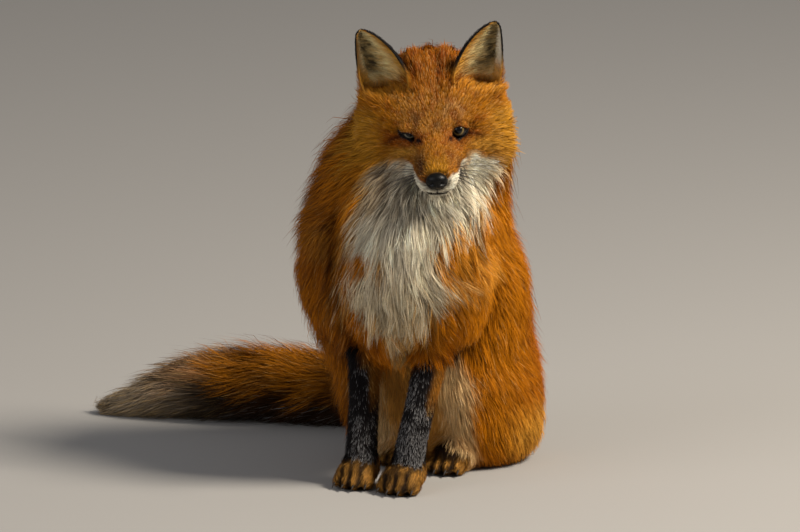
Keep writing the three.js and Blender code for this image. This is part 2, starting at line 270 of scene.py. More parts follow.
def new_mesh(name, points, corners, starts, uv=None, colours=None):
    """A mesh from flat corner lists: `starts` is where each face's corners begin."""
    mesh = bpy.data.meshes.new(name)
    mesh.vertices.add(len(points))
    mesh.vertices.foreach_set("co", np.asarray(points, np.float32).ravel())
    mesh.loops.add(len(corners))
    mesh.loops.foreach_set("vertex_index", np.asarray(corners, np.int32))
    mesh.polygons.add(len(starts))
    mesh.polygons.foreach_set("loop_start", np.asarray(starts, np.int32))
    mesh.polygons.foreach_set("use_smooth", np.ones(len(starts), bool))
    if uv is not None:
        layer = mesh.uv_layers.new(name="OFBake")
        layer.uv.foreach_set("vector", np.asarray(uv, np.float32).ravel())
    if colours is not None:
        attribute = mesh.attributes.new("coat_colour", "FLOAT_COLOR", "POINT")
        rgba = np.concatenate([colours, np.ones((len(colours), 1))], 1)
        attribute.data.foreach_set("color", rgba.astype(np.float32).ravel())
    mesh.update(calc_edges=True)
    return mesh


def mesh_of(name, source):
    """A smooth mesh of what a bmesh holds, which is then freed."""
    mesh = bpy.data.meshes.new(name)
    source.to_mesh(mesh)
    source.free()
    mesh.polygons.foreach_set("use_smooth", np.ones(len(mesh.polygons), bool))
    return mesh


def new_object(name, mesh, material, place=None):
    obj = bpy.data.objects.new(name, mesh)
    bpy.context.scene.collection.objects.link(obj)
    mesh.materials.append(material)
    if place is not None:
        obj.matrix_world = place
    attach(obj, "root")
    return obj


# ---- one skin from the nodes of flesh ----
def flesh_and_samples():
    joined = bmesh.new()
    spots, owners = [], []
    for name in FLESH + list(FILLINGS):  # what sits in a hollow closes it
        piece = bmesh.new()
        piece.from_mesh(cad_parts[name].data)
        bmesh.ops.remove_doubles(piece, verts=piece.verts, dist=1e-6)
        bmesh.ops.triangulate(piece, faces=piece.faces)
        piece.normal_update()
        for v in piece.verts:
            v.co += v.normal * OVERLAP
            if name.startswith("ear_"):  # only the ear's root fills its socket
                place = head_mm(np.array(v.co))
                v.co = from_head([*place[:2], min(place[2], EAR_ROOT)])
        temp = mesh_of("temp", piece)
        joined.from_mesh(temp)
        points, triangles = mesh_arrays(temp)
        bpy.data.meshes.remove(temp)
        surface = Surface(points, triangles)
        area = surface.areas()
        count = max(60, int(area.sum() / (5.5 * MM) ** 2))
        pick = random.choice(len(area), count, p=area / area.sum())
        w = random.dirichlet([1, 1, 1], count)
        spots.append(np.einsum("nk,nkj->nj", w, points[triangles[pick]]))
        owners.append(np.full(count, LABEL[FILLINGS.get(name, name)]))
    return mesh_of("flesh", joined), np.concatenate(spots), np.concatenate(owners)


def remeshed(mesh):
    obj = bpy.data.objects.new("flesh", mesh)
    bpy.context.scene.collection.objects.link(obj)
    modifier = obj.modifiers.new("union", "REMESH")
    modifier.mode = "VOXEL"
    modifier.voxel_size = VOXEL
    graph = bpy.context.evaluated_depsgraph_get()
    out = bpy.data.meshes.new_from_object(obj.evaluated_get(graph))
    bpy.data.objects.remove(obj)
    bpy.data.meshes.remove(mesh)
    return out


def outer_shell(points, triangles):
    """Drops what isn't connected to the largest body."""
    surface = Surface(points, triangles)
    group = np.arange(len(points))
    for _ in range(200):
        low = np.minimum(group[surface.a], group[surface.b])
        before = group.copy()
        np.minimum.at(group, surface.a, low)
        np.minimum.at(group, surface.b, low)
        group = group[group]
        if np.array_equal(before, group):
            break
    names, counts = np.unique(group, return_counts=True)
    keep = group == names[counts.argmax()]
    index = np.cumsum(keep) - 1
    inside = keep[triangles].all(axis=1)
    return points[keep], index[triangles[inside]]


def tree_of(points):
    tree = KDTree(len(points))
    for i, p in enumerate(points):
        tree.insert(p, i)
    tree.balance()
    return tree


def nearest(tree, points):
    find = tree.find
    return np.fromiter((find(p)[1] for p in points), np.int64, len(points))


def refined(points, triangles, chosen):
    """Splits the chosen triangles in four, and their neighbours so that no gap opens."""
    n = len(points)
    following = np.roll(triangles, -1, axis=1)
    keys = np.minimum(triangles, following) * n + np.maximum(triangles, following)
    marked = np.unique(keys[chosen])
    middles = (points[marked // n] + points[marked % n]) / 2
    place = np.searchsorted(marked, keys).clip(0, len(marked) - 1)
    split = marked[place] == keys
    count = split.sum(1)
    both = np.concatenate([triangles, n + place], 1)  # 0 to 2 are corners, 3 to 5 the edges' middles
    out = [triangles[count == 0]]
    out += [both[count == 3][:, pick] for pick in ([0, 3, 5], [3, 1, 4], [5, 4, 2], [3, 4, 5])]
    for a, b, c in ((0, 1, 2), (1, 2, 0), (2, 0, 1)):
        one = both[(count == 1) & split[:, a]]
        two = both[(count == 2) & ~split[:, c]]
        out += [one[:, pick] for pick in ([a, a + 3, c], [a + 3, b, c])]
        out += [two[:, pick] for pick in ([b, b + 3, a + 3], [a, a + 3, b + 3], [a, b + 3, c])]
    return np.concatenate([points, middles]), np.concatenate(out)


# ---- how the coat grows: depth under the tips, hair length and hair width in mm ----
COAT = {
    "muzzle": (2.4, 6, 0.5), "lower_jaw": (2.4, 6, 0.5), "head": (6, 14, 0.6),
    "neck": (24, 50, 0.95), "trunk": (19, 44, 0.95), "rump": (15, 40, 0.95), "chest": (27, 60, 1.0),
    "upper_arm": (13, 34, 0.9), "forearm": (3.4, 11, 0.6), "forepaw": (2.0, 7, 0.5),
    "thigh": (13, 36, 0.9), "hind_foot": (2.4, 9, 0.55),
    "tail_base": (21, 46, 0.95), "tail_middle": (26, 54, 1.0), "tail_tip": (25, 50, 1.0),
}
SMOOTHING = {  # how strongly the facets of a node are rounded off, 1 where nothing is said
    "muzzle": 0.2, "lower_jaw": 0.2, "head": 0.5, "forearm": 0.4, "forepaw": 0.08, "hind_foot": 0.08,
}
TAIL_LINE = [  # x, y, z, half depth
    [-438, 220, 4.5, 4.7], [-422, 224, 9.5, 10], [-365, 238, 26, 26.6], [-290, 254, 41.5, 42.3],
    [-190, 268, 42.5, 43.5], [-88, 276, 43, 43], [-18, 266, 46, 38], [4, 232, 58, 28],
]


def of_each_node(table, missing=None):
    """A table's values in the order of the labels; a left and a right node share theirs."""
    kinds = [name.removesuffix("_left").removesuffix("_right") for name in FLESH]
    return np.array([table.get(kind, missing) for kind in kinds], float)


def from_opening(h, side):
    """Distance in mm to the edge of the opening between the lids, below 0 inside it."""
    x, z, slant, length, height, roundness = LIDS[side]
    slant = math.radians(slant)
    dx, dz = (h[:, 0] - x) * side, h[:, 2] - z
    along = math.cos(slant) * dx + math.sin(slant) * dz
    sag = EYE_RADIUS - np.sqrt(EYE_RADIUS**2 - np.minimum(np.abs(along), 9.5) ** 2)
    across = np.abs(math.cos(slant) * dz - math.sin(slant) * dx + 0.42 * sag)
    edge = height * (1 - np.minimum(np.abs(along / length) ** roundness, 1))
    out = np.hypot(np.maximum(np.abs(along) - length, 0), np.maximum(across - edge, 0))
    within = np.minimum(edge - across, length - np.abs(along))
    return np.where(within > 0, -within, out)


def beside_eye(h):
    """1 round the eyes, 0 on the sides of the muzzle and behind the face."""
    return ramp(h[:, 1], -5, -1) * (h[:, 1] < FACE_END)


def inner_corner(h):
    """1 at the eyes' inner corners."""
    x, w = np.abs(h[:, 0]), seen_height(h)
    tear = np.where(h[:, 0] < 0, spot(x, w, 17.5, -5.5, 3.6, 3.4), spot(x, w, 18.5, -5, 2.2, 2.6))
    return tear * (h[:, 1] > -22) * (h[:, 1] < FACE_END)


def before_ear(h):
    """1 on the ledge in front of each ear's hollow."""
    away = np.hypot(np.abs(h[:, 0]) - 50, h[:, 2] - 34)
    return ramp(away, 32, 20) * ramp(h[:, 1], 66, 56) * ramp(h[:, 2], 8, 22)


def near_eye(h):
    edge = np.minimum(from_opening(h, 1), from_opening(h, -1))
    return ramp(edge, 12, 1.5) * ramp(h[:, 1], -12, -4) * (h[:, 1] < FACE_END)


def of_label(labels, *names):
    return np.isin(labels, [LABEL[n] for n in names])


def coat_sizes(points, labels):
    """Depth, length and width of the coat at each place."""
    sizes = of_each_node(COAT)[labels]
    h = head_mm(points)
    x, y, z = np.abs(h[:, 0]), h[:, 1], h[:, 2]
    back = ramp(y, 0, 50)
    cheek = ramp(x, 30, 74) * ramp(y, 0, 45) * ramp(z, 22, -12)
    throat = ramp(z, -44, -85) * ramp(y, -8, 25)
    soft = np.maximum(cheek, throat)
    crown = ramp(z, 26, 42) * ramp(np.abs(x - 26), 22, 8) * ramp(y, 15, 35) * ramp(y, 90, 70)
    short = 1 - 0.5 * before_ear(h) * (1 - crown)
    behind = ramp(y, 70, 95) * ramp(z, 5, 28)  # the back of the skull is rounded off by longer hair
    head = np.stack([
        (2.6 + 3.9 * back + 10 * soft) * short * (1 - 0.7 * near_eye(h)) + 9 * behind,
        (5.5 + 9.5 * back + 27 * soft + 8 * crown) * short + 24 * behind,
        0.42 + 0.23 * back + 0.2 * soft,
    ], 1)
    sizes = mix(sizes, head, of_label(labels, *HEAD_PARTS))
    x, y, z = body_mm(points).T
    depth, length, _ = sizes.T
    tail = of_label(labels, *TAIL_PARTS)
    depth[tail] = np.minimum(depth, 0.6 * stations_at(x, TAIL_LINE, 3))[tail]
    length[tail] *= ramp(x[tail], -445, -400) * 0.6 + 0.4
    over_legs = of_label(labels, "chest", "trunk", *UPPER_ARMS)
    over_legs &= (z < 230) & (np.abs(np.abs(x) - 28) < 17) & (y < 20)
    length[over_legs] = np.minimum(length, 15 + 0.45 * np.maximum(z - 145, 0))[over_legs]
    low_chest = of_label(labels, "chest") & (z < 200)
    depth[low_chest] = np.minimum(depth, 8 + 0.28 * np.maximum(z - 130, 0))[low_chest]
    return sizes


def head_flow(h):
    """On the head the coat lies away from the nose, down the cheeks and sideways on the lips."""
    x, y, z = h.T
    away = unit(h - np.array([0.0, -78.0, -30.0]))
    cheek = ramp(np.abs(x), 25, 75) * ramp(y, -10, 40)
    away[:, 2] -= 0.75 * cheek * ramp(z, 40, -30)
    away[:, 0] += np.where(x > 0, 0.35 + 0.5 * ramp(z, -8, -34), 0.35) * cheek * np.sign(x)
    away[:, 2] -= 0.6 * ramp(z, -40, -70) * ramp(y, -20, 30)
    level = np.where(z > MOUTH_Z, 0.12, -0.3)
    sideways = np.stack([np.sign(x) * np.minimum(np.abs(x) / 4, 1), np.full(len(h), 0.5), level], 1)
    return unit(mix(unit(away), sideways, ramp(y, -20, -45) * ramp(z, -26, -34))) @ HEAD_AXES.T


def coat_flow(points, labels):
    """The way the coat lies, before it is smoothed."""
    b, h = body_mm(points), head_mm(points)
    x, z = b[:, 0], b[:, 2]
    flow = np.tile(np.array([0.0, 0.12, -1.0]), (len(points), 1))
    lies = {"trunk": [0, 0.4, -0.92], "rump": [0, 0.4, -0.92]}
    for side, name in zip(SIDES, SIDE_NAMES):
        lies["thigh_" + name] = [0.12 * side, 0.42, -0.9]
        lies["upper_arm_" + name] = [0.1 * side, 0.25, -0.96]
        lies["forearm_" + name] = [0, 0.06, -1]
        lies["forepaw_" + name] = [0, -1, -0.35]
        lies["hind_foot_" + name] = [0, -1, -0.35]
    for name, lie in lies.items():
        flow[of_label(labels, name)] = lie
    neck, chest = of_label(labels, "neck"), of_label(labels, "chest")
    flow[neck, 0] = np.clip((x[neck] - 20) / 160, -0.5, 0.5)
    middle = np.interp(z, [150, 200, 260, 330, 380], [5, 8, 18, 38, 52])  # the bib parts here
    flow[chest, 0] = np.clip((x - middle) / 110, -0.55, 0.55)[chest]
    flow[chest, 1] = -0.08
    tail = of_label(labels, *TAIL_PARTS)
    ahead = [stations_at(x - 15, TAIL_LINE, k) - stations_at(x + 15, TAIL_LINE, k) for k in (1, 2)]
    flow[tail] = np.stack([np.full(len(b), -30.0), *ahead], 1)[tail]
    over_head = head_flow(h)
    flow = mix(flow, over_head, of_label(labels, *HEAD_PARTS))
    ruff = ramp(egg(h, 0, HEAD_EGG), 1.5, 1.1) * ramp(h[:, 0], -10, -45)
    with_ruff = mix(unit(flow), over_head, 0.75 * ruff)
    return unit(mix(flow, with_ruff, of_label(labels, "neck", "trunk")))


# ---- markings: the same colours for the skin and the coat ----
RUST = tone(178, 103, 3)
DEEP_RUST = tone(140, 66, 6)
GOLD = tone(196, 136, 26)
CREAM = tone(206, 184, 146)
WHITE = tone(242, 232, 208)
SMOKE = tone(84, 76, 68)
BLACK = tone(22, 20, 20)
PAW = tone(162, 114, 50)
BROWN = tone(104, 58, 14)
TAIL_GREY = tone(150, 134, 112)

TOES = [  # each foot's middle, the spread of its toes and how far the outer ones lie back
    (27.5, -36, 39, 20), (-29, -29, 36, 20), (38.5, 76, 38, 18), (-32.5, 93, 38, 18),
]

# The pale bib as it is seen from the front left: height, left edge and right edge in mm.
SEEN_TURN, SEEN_DROP = math.radians(22), math.radians(12)
BIB = [
    [118, 8, 12], [139.7, 0, 20], [150.7, -5, 25], [161.7, -13, 33], [172.7, -21, 42], [183.7, -27, 52],
    [194.7, -38, 58], [205.7, -51, 69], [216.7, -57, 71], [227.7, -57, 66], [238.7, -38, 56],
    [249.7, -8, 50], [260.7, -12, 60], [271.7, -42, 88], [293.7, -36, 108], [315.7, -24, 124],
    [337.7, -26, 140], [380, 20, 150],
]


def seen(b):
    """Places in mm as they show from the front left: across and up."""
    across = b[:, 0] * math.cos(SEEN_TURN) + b[:, 1] * math.sin(SEEN_TURN)
    back = b[:, 1] * math.cos(SEEN_TURN) - b[:, 0] * math.sin(SEEN_TURN)
    return across, back * math.sin(SEEN_DROP) + b[:, 2] * math.cos(SEEN_DROP)


def head_markings(h, shares):
    """Colours and shares on the head, in the head's frame."""
    x, y, z = np.abs(h[:, 0]), h[:, 1], h[:, 2]
    right = h[:, 0] < 0
    w = seen_height(h)
    ash, dark, grizzle = shares.T
    front = ramp(y, 60, 30)
    grain, wobble = noise(h, 5, 6), (noise(h, 9, 3) - 0.5) * 7
    round_eye = np.hypot((x - 33) / 24, (w + 3) / 11)
    under_eye = np.where(right, spot(x, w, 38, -17, 14, 5), spot(x, w, 53, -12, 15, 8))
    # White: the patch beside the muzzle, the lower cheeks and the throat.
    edge = np.interp(
        x, [0, 22, 27, 38, 50, 66, 79, 92, 120], [-60, -42, -27, -23, -24.5, -32.5, -45, -60, -80],
    )
    edge += np.where(right, 0, np.interp(x, [50, 66, 79, 92], [0, 1, 3, 6]))
    pale = ramp(w + wobble * ramp(x, 20, 45), edge + 4, edge - 4) * ramp(y, -4, 8)
    # Painted light and shade on the white: it is brighter on the animal's left, which faces the key light,
    # and darker, with grey roots, on its outer right cheek, which is in shade.
    painted_lit_white = mix(tone(255, 246, 220), tone(220, 172, 100), ramp(x, 62, 84))
    lit_and_shaded_white = mix(painted_lit_white, mix(WHITE, tone(158, 128, 82), 0.85 * ramp(x, 42, 58)), right)
    grey_roots_and_shade = np.where(right, 0.8, 0.1) * ramp(x, 45, 75) + 0.5 * ramp(w, -60, -80)
    ash = np.maximum(ash * (1 - 0.6 * front), clipped(grey_roots_and_shade) * pale)
    rim = np.interp(x, [8, 12, 16, 20, 24, 27, 30], [-60, -52, -47, -44, -42, -40, -38])
    rim = np.where(right, np.interp(x, [8, 12, 20, 25], [-58, -55, -48, -40]), rim)
    lip = ramp(w + 3 * (noise(h, 4, 4) - 0.5), rim + 2, rim - 2) * ramp(y, 6, -4)
    lip = np.maximum(lip, ramp(z, -28, -31) * ramp(y, 6, -4))
    # Dark on the muzzle's sides: a narrow dark mark on the left, and a broad patch of painted shade on the
    # right, the shaded side.
    muzzle_mark_and_shade = np.where(right, 0.9 * spot(x, w, 17, -34, 7, 14), 0.7 * spot(x, w, 26.5, -33, 2.8, 8))
    # A dark line runs back from each eye's outer corner. Above the open eye there is a pale arc
    # round a rusty patch, and the inner ends of the brows are darker.
    line = w - 2.8 + 0.58 * (x - 37.7)
    streak = hump(line, 2.3) * ramp(x, 35, 39) * ramp(x, 62, 48) * front
    arc = np.hypot(h[:, 0] - 22, w - 22)
    brows = spot(h[:, 0], w, -19, 19, 4.5, 7) + spot(h[:, 0], w, 4, 11, 3.5, 5)
    tuft = before_ear(h) * ramp(z, 20, 28)
    # Painted shade at the foot of each ear, where the ear meets the head, broader on the right.
    base = np.where(right, spot(x, w, 43, 45, 12, 4.5), 0.7 * spot(x, w, 47, 42, 6, 5))
    colour = painted(
        tone(164, 100, 14),
        (DEEP_RUST, clipped(0.65 * ramp(grain, 0.45, 0.8) + 0.4 * ramp(w, 42, 62))),
        ((190, 134, 38), 0.8 * ramp(x, 46, 78) * ramp(w, 40, 15)),
        (GOLD, 0.75 * ramp(y, -36, -58) * ramp(x, 18, 8)),
        (DEEP_RUST, 0.85 * ramp(round_eye, 1.25, 0.6) * front),
        (BROWN, 0.6 * spot(x, w, 20, -24, 8, 17) * front),
        ((204, 146, 52), 0.8 * clipped(under_eye * 1.2) * front),
        # A golden band above the white on the left cheek only, the side the key light falls on: painted
        # light.
        ((214, 158, 74), 0.55 * ramp(w, edge + 22, edge + 4) * ramp(x, 52, 70) * ~right),
        (lit_and_shaded_white, pale),
        ((206, 152, 70), 2.8 * pale * (1 - pale) * ramp(x, 24, 36)),
        (WHITE, lip),
        ((62, 32, 12), clipped(muzzle_mark_and_shade * 1.15) * ramp(y, 20, 5)),
        ((66, 26, 8), 0.9 * streak),
        ((32, 18, 12), clipped(1.3 * inner_corner(h))),
        ((120, 50, 16), 0.55 * ramp(arc, 8, 3) * front),
        ((206, 170, 130), 0.2 * hump(arc - 9.5, 2.2) * ramp(w, 14, 22) * front),
        ((84, 42, 26), clipped(brows) * 0.75 * front),
        ((200, 134, 40), (0.25 + 0.6 * ramp(y, 36, 46)) * tuft),
        ((84, 46, 20), 0.75 * base * ramp(grain, 0.3, 0.6)),
    )
    grizzle = np.maximum(grizzle, 0.15 * front)
    flecks = ramp(w, -8, 8) * ramp(w, 72, 34) * ramp(x, 52, 30) + 0.5 * ramp(w, 4, -8) * ramp(x, 20, 10)
    grizzle = np.maximum(grizzle, 0.7 * clipped(flecks) * front * (1 - pale) * (1 - lip))
    grizzle = grizzle * (1 - clipped(2 * inner_corner(h))) * (1 - 0.7 * streak)
    return colour, np.stack([ash, dark, grizzle], 1)


def bib_share(b, labels):
    """1 on the bib, which runs from the throat down between the forelegs."""
    across, up = seen(b)
    ragged = (noise(b * np.array([1, 1, 0.35]), 9, 5) - 0.5) * 26
    left, right = stations_at(up, BIB, 1), stations_at(up, BIB, 2)
    bib = ramp(across, left - 8 + ragged, left + 8 + ragged)
    bib *= ramp(across, right + 8 + ragged, right - 8 + ragged)
    bib *= ramp(b[:, 1], 88, 60) * ramp(up, 118, 140)
    return bib * of_label(labels, *HEAD_PARTS, "chest", "neck", "trunk", *UPPER_ARMS)


def feet_colours(b, fine):
    """Forepaws and hind feet: striped toes with painted shade in the gaps between them, dark above."""
    x, y, z = b.T
    stripes = noise(b * np.array([1, 0.25, 0.5]), 5, 14)
    # Dark lines between the toes are painted shade.
    toe_gap_shade = np.zeros(len(b))
    for toe_x, toe_y, spread, _ in TOES:
        q = (x - toe_x) / spread * 3 + 1.5
        between = ramp(np.abs(q - np.floor(q) - 0.5), 0.36, 0.1) * (np.abs(q - 1.5) < 1.5)
        toe_gap_shade = np.maximum(toe_gap_shade, between * (np.abs(x - toe_x) < spread) * (np.abs(y - toe_y) < 28))
    toe_gap_shade *= ramp(z, 32, 24)
    foot = painted(PAW, ((58, 38, 18), 0.8 * ramp(stripes, 0.5, 0.8)), ((20, 13, 8), 0.95 * toe_gap_shade))
    fore = mix(foot, tone(34, 23, 14), ramp(z + 8 * (fine - 0.5), 24, 38))
    return fore, mix(foot, tone(44, 28, 16), ramp(z, 16, 27))


def brush_markings(b, coarse, fine):
    """Colours and shares on the tail: painted shade on its underside, grey towards the tip."""
    x = b[:, 0]
    above = b[:, 2] - stations_at(x, TAIL_LINE, 2)
    patches = ramp(noise(b * np.array([0.6, 1, 1]), 30, 16), 0.35, 0.7)
    grey = ramp(x + 90 * (coarse - 0.5) + 40 * (fine - 0.5), -270, -400)
    colour = painted(
        tone(180, 108, 4),
        ((92, 52, 8), 0.6 * patches + 0.4 * ramp(x, -190, -90)),
        (BROWN * 0.6, 0.65 * ramp(x, -220, -70)),
        # The tail's lower half is painted near black: painted shade where it lies on the floor.
        ((26, 17, 9), 0.93 * ramp(above + 16 * (fine - 0.5), 14, -6)),
        (TAIL_GREY, grey),
    )
    dark = 0.4 + 0.35 * ramp(above, 18, 34) - 0.2 * grey
    return colour, np.stack([np.full(len(b), 0.6), dark, 0.12 + 0.3 * grey], 1)


def markings(points, labels):
    """Main colour, and shares of grey at the roots, of dark tips and of pale tips, at each place."""
    b, h = body_mm(points), head_mm(points)
    x, y, z = b.T
    across, up = seen(b)
    coarse, fine = noise(b, 42, 1), noise(b, 13, 2)
    near_head = ramp(egg(h, 0, HEAD_EGG), 1.55, 1.0) * ramp(x, 40, 0)
    # Two golden spots on the front of the body are painted highlights.
    painted_gold_highlights = 0.6 * spot(across, up, 105, 250, 25, 20) + 0.6 * spot(across, up, -50, 278, 16, 12)
    bib = bib_share(b, labels)
    straw = painted(
        CREAM,
        (WHITE, 0.7 * ramp(up, 180, 300)),
        ((186, 142, 74), 0.75 * ramp(up, 195, 145)),
        # The bib's upper part on the animal's right, beneath the head, is darkened: painted shade.
        ((150, 124, 88), 0.75 * ramp(across, 30, -5) * ramp(up, 285, 318)),
    )
    between = ramp(np.abs(x - 3), 74, 58) * ramp(z, 190, 150) * ramp(y, 190, 160)  # the thighs
    between = between * of_label(labels, "rump", "trunk", *THIGHS)
    cleavage = mix(tone(226, 190, 134), tone(190, 130, 46), 0.9 * ramp(np.abs(x - 6), 44, 24))
    from_z = np.where(of_label(labels, *UPPER_ARMS), 164, 186)
    inside = ramp(np.abs(x - 3), 40, 24) * ramp(z, 128, 150)
    sleeve = ramp(z + 22 * (fine - 0.5), from_z, from_z - 20) * (1 - 0.8 * inside)
    sleeve = sleeve * of_label(labels, *FOREARMS, *UPPER_ARMS)
    colour = painted(
        RUST,
        (DEEP_RUST, 0.55 * ramp(y, 90, 190) + 0.35 * ramp(coarse, 0.5, 0.8)),
        ((184, 116, 8), 0.35 * ramp(x, 40, 110) * ramp(y, 210, 120)),
        # A golden patch low on the left haunch, which faces the key light, is a painted highlight.
        ((224, 164, 62), 0.75 * ramp(x, 90, 125) * ramp(z, 95, 45)),
        ((206, 138, 34), 0.8 * near_head),
        (BROWN, 0.25 * ramp(fine, 0.5, 0.85)),
        ((210, 150, 60), clipped(painted_gold_highlights) * ramp(y, 88, 60)),
        (straw, bib),
        ((204, 150, 66), 3.2 * bib * (1 - bib)),
        (cleavage, 0.9 * between),
        ((24, 21, 21), sleeve),
    )
    shares = np.stack([0.25 + 0.2 * fine, 0.06 + 0.64 * ramp(x, 0, -85), np.full(len(b), 0.04)], 1)
    shares = mix(shares, np.array([0.9, 0.12, 0.25]), bib)
    shares[:, 0] = mix_value(mix_value(shares[:, 0], 0.08, between), 0.1, sleeve)
    # Pale tips on the black legs: silver flecks, laid only on each leg's side towards the key light, so they
    # are partly grizzled fur and partly painted sheen.
    lit = ramp(x - np.where(x < 0, -28, 26), -12, 2)
    silver_and_sheen = (0.1 + 0.9 * ramp(noise(b * np.array([1, 1, 0.6]), 9, 15), 0.42, 0.58)) * lit
    shares[:, 2] = mix_value(shares[:, 2], 0.04 + silver_and_sheen, sleeve * ramp(y, 12, -6))
    fore, hind = of_label(labels, *FOREPAWS), of_label(labels, *HIND_FEET)
    fore_colour, hind_colour = feet_colours(b, fine)
    colour = painted(colour, (fore_colour, fore), (hind_colour, hind))
    shares = mix(shares, np.array([0.1, 0.05, 0.05]), fore | hind)
    tail, head = of_label(labels, *TAIL_PARTS), of_label(labels, *HEAD_PARTS)
    tail_colour, tail_shares = brush_markings(b, coarse, fine)
    head_colour, head_shares = head_markings(h, shares)
    head_colour = mix(head_colour, colour, 0.85 * bib * ramp(h[:, 2], -60, -95))
    colour = painted(colour, (tail_colour, tail), (head_colour, head))
    return colour, painted(shares, (tail_shares, tail), (head_shares, head))


# ---- the ears: thin curved shells ----
EAR = np.array([
    [47.5, 55, 25, 27, 20], [49, 53, 38, 30.5, 20], [53, 53, 60, 30, 17],
    [60, 56, 82, 23.5, 12.5], [67.5, 59, 97, 14.5, 8], [72, 60.5, 103.5, 6, 4],
], float)
EAR_RINGS, EAR_STEPS = 34, 30

EAR_TURN = math.radians(18)  # each ear's hollow faces outwards by this


def along_rows(rows, t):
    """A Catmull-Rom curve through table rows, at shares t from 0 to 1."""
    padded = np.concatenate([2 * rows[:1] - rows[1:2], rows, 2 * rows[-1:] - rows[-2:-1]])
    p = np.clip(t, 0, 1) * (len(rows) - 1)
    i = np.minimum(p.astype(int), len(rows) - 2)
    w = (p - i)[:, None]
    a, b, c, d = padded[i], padded[i + 1], padded[i + 2], padded[i + 3]
    m0, m1 = (c - a) / 2, (d - b) / 2
    ends = (2 * w**3 - 3 * w**2 + 1) * b + (w**3 - 2 * w**2 + w) * m0
    return ends + (3 * w**2 - 2 * w**3) * c + (w**3 - w**2) * m1


def ear_shell(side):
    """Points, triangles, height share, angle share (0 at the edge nearer the head's middle) and layer."""
    t = np.linspace(0.06, 0.975, EAR_RINGS)
    rows = along_rows(EAR, t)
    s = np.linspace(0, 1, EAR_STEPS)
    points, shares = [], []
    for inset, layer in ((1.6, 0), (3.2, 1)):
        for row, ti in zip(rows, t):
            wrap = np.interp(ti, [0, 0.3, 0.8, 1], [0.55, 0.2, 0.12, 0.3])
            phi = math.pi + wrap - s * (math.pi + 2 * wrap)  # from the inner edge round the back
            cut = np.minimum(inset, np.array([row[3], row[4]]) * (0.22 + 0.16 * layer))
            wide, deep = (row[3] - cut[0]) * np.cos(phi), (row[4] - cut[1]) * np.sin(phi)
            px = row[0] + wide * math.cos(EAR_TURN) - deep * math.sin(EAR_TURN)
            py = row[1] + deep * math.cos(EAR_TURN) + wide * math.sin(EAR_TURN)
            points.append(np.stack([side * px, py, np.full(len(s), row[2])], 1))
            shares.append(np.stack([np.full(len(s), ti), s, np.full(len(s), layer)], 1))
    points, shares = np.concatenate(points), np.concatenate(shares)
    grid = np.arange(2 * EAR_RINGS * EAR_STEPS).reshape(2, EAR_RINGS, EAR_STEPS)
    back, hollow = grid
    strips = [  # the two layers, the top, the foot and the two edges
        (back[:-1, :-1], back[:-1, 1:], back[1:, 1:], back[1:, :-1]),
        (hollow[:-1, :-1], hollow[1:, :-1], hollow[1:, 1:], hollow[:-1, 1:]),
        (back[-1, :-1], back[-1, 1:], hollow[-1, 1:], hollow[-1, :-1]),
        (back[0, 1:], back[0, :-1], hollow[0, :-1], hollow[0, 1:]),
        (back[1:, 0], hollow[1:, 0], hollow[:-1, 0], back[:-1, 0]),
        (back[:-1, -1], hollow[:-1, -1], hollow[1:, -1], back[1:, -1]),
    ]
    quads = [np.stack([corner.ravel() for corner in strip], 1) for strip in strips]
    triangles = halved(np.concatenate(quads))
    if side > 0:
        triangles = triangles[:, ::-1]
    return from_head(points), triangles, shares


# ---- the skin ----
def shape_lids(points, labels):
    """Pulls the skin on to the eyeballs as lids and behind them in the openings."""
    h = head_mm(points)
    face = of_label(labels, "head") & (h[:, 1] < 42)
    for side in SIDES:
        edge = from_opening(h, side)
        dx, dz = h[:, 0] - side * EYE_X, h[:, 2] - EYE_Z
        cover = EYE_Y - np.sqrt(np.maximum((EYE_RADIUS + 0.9) ** 2 - dx**2 - dz**2, 0))
        lid = np.minimum(np.where(cover < EYE_Y, cover, h[:, 1]), h[:, 1] + 1.5)
        shaped = mix_value(lid, h[:, 1], ramp(edge, 0.8, 7))
        shaped = np.where(cover < EYE_Y - 0.1, np.minimum(shaped, cover), shaped)
        shaped -= 0.7 * hump(edge - 1.2, 0.9)  # the lids' thicker edges
        shaped = np.where(edge < 0, np.minimum(cover, EYE_Y) + 2.2, shaped)
        near = face & (np.abs(dx) < 26) & (np.abs(dz) < 20)
        h[near, 1] = shaped[near]
    return from_head(h)


def shape_mouth(points, labels):
    """Presses the line of the mouth into the sides of the muzzle."""
    h = head_mm(points)
    line = hump(h[:, 2] - MOUTH_Z, 1.1) * ramp(h[:, 1], 4, -4) * of_label(labels, *HEAD_PARTS)
    inward = unit(np.stack([-h[:, 0], 18 - 0.35 * h[:, 1], np.zeros(len(h))], 1))
    return from_head(h + inward * (1.6 * line)[:, None])


def averaged(values, times):
    """Averages a volume with its neighbours along each axis."""
    for _ in range(times):
        for axis in range(3):
            rows = np.moveaxis(values, axis, 0)
            middle = (rows[:-2] + 2 * rows[1:-1] + rows[2:]) / 4
            values = np.moveaxis(np.concatenate([rows[:1], middle, rows[-1:]]), 0, axis)
    return values


def stretched(values, shape):
    """Reads a coarse volume at every place of a fine one."""
    for axis, size in enumerate(shape):
        at = np.arange(size) / CELL
        i = np.minimum(at.astype(int), values.shape[axis] - 2)
        share = (at - i).reshape([-1 if a == axis else 1 for a in range(3)])
        values = np.take(values, i, axis) * (1 - share) + np.take(values, i + 1, axis) * share
    return values


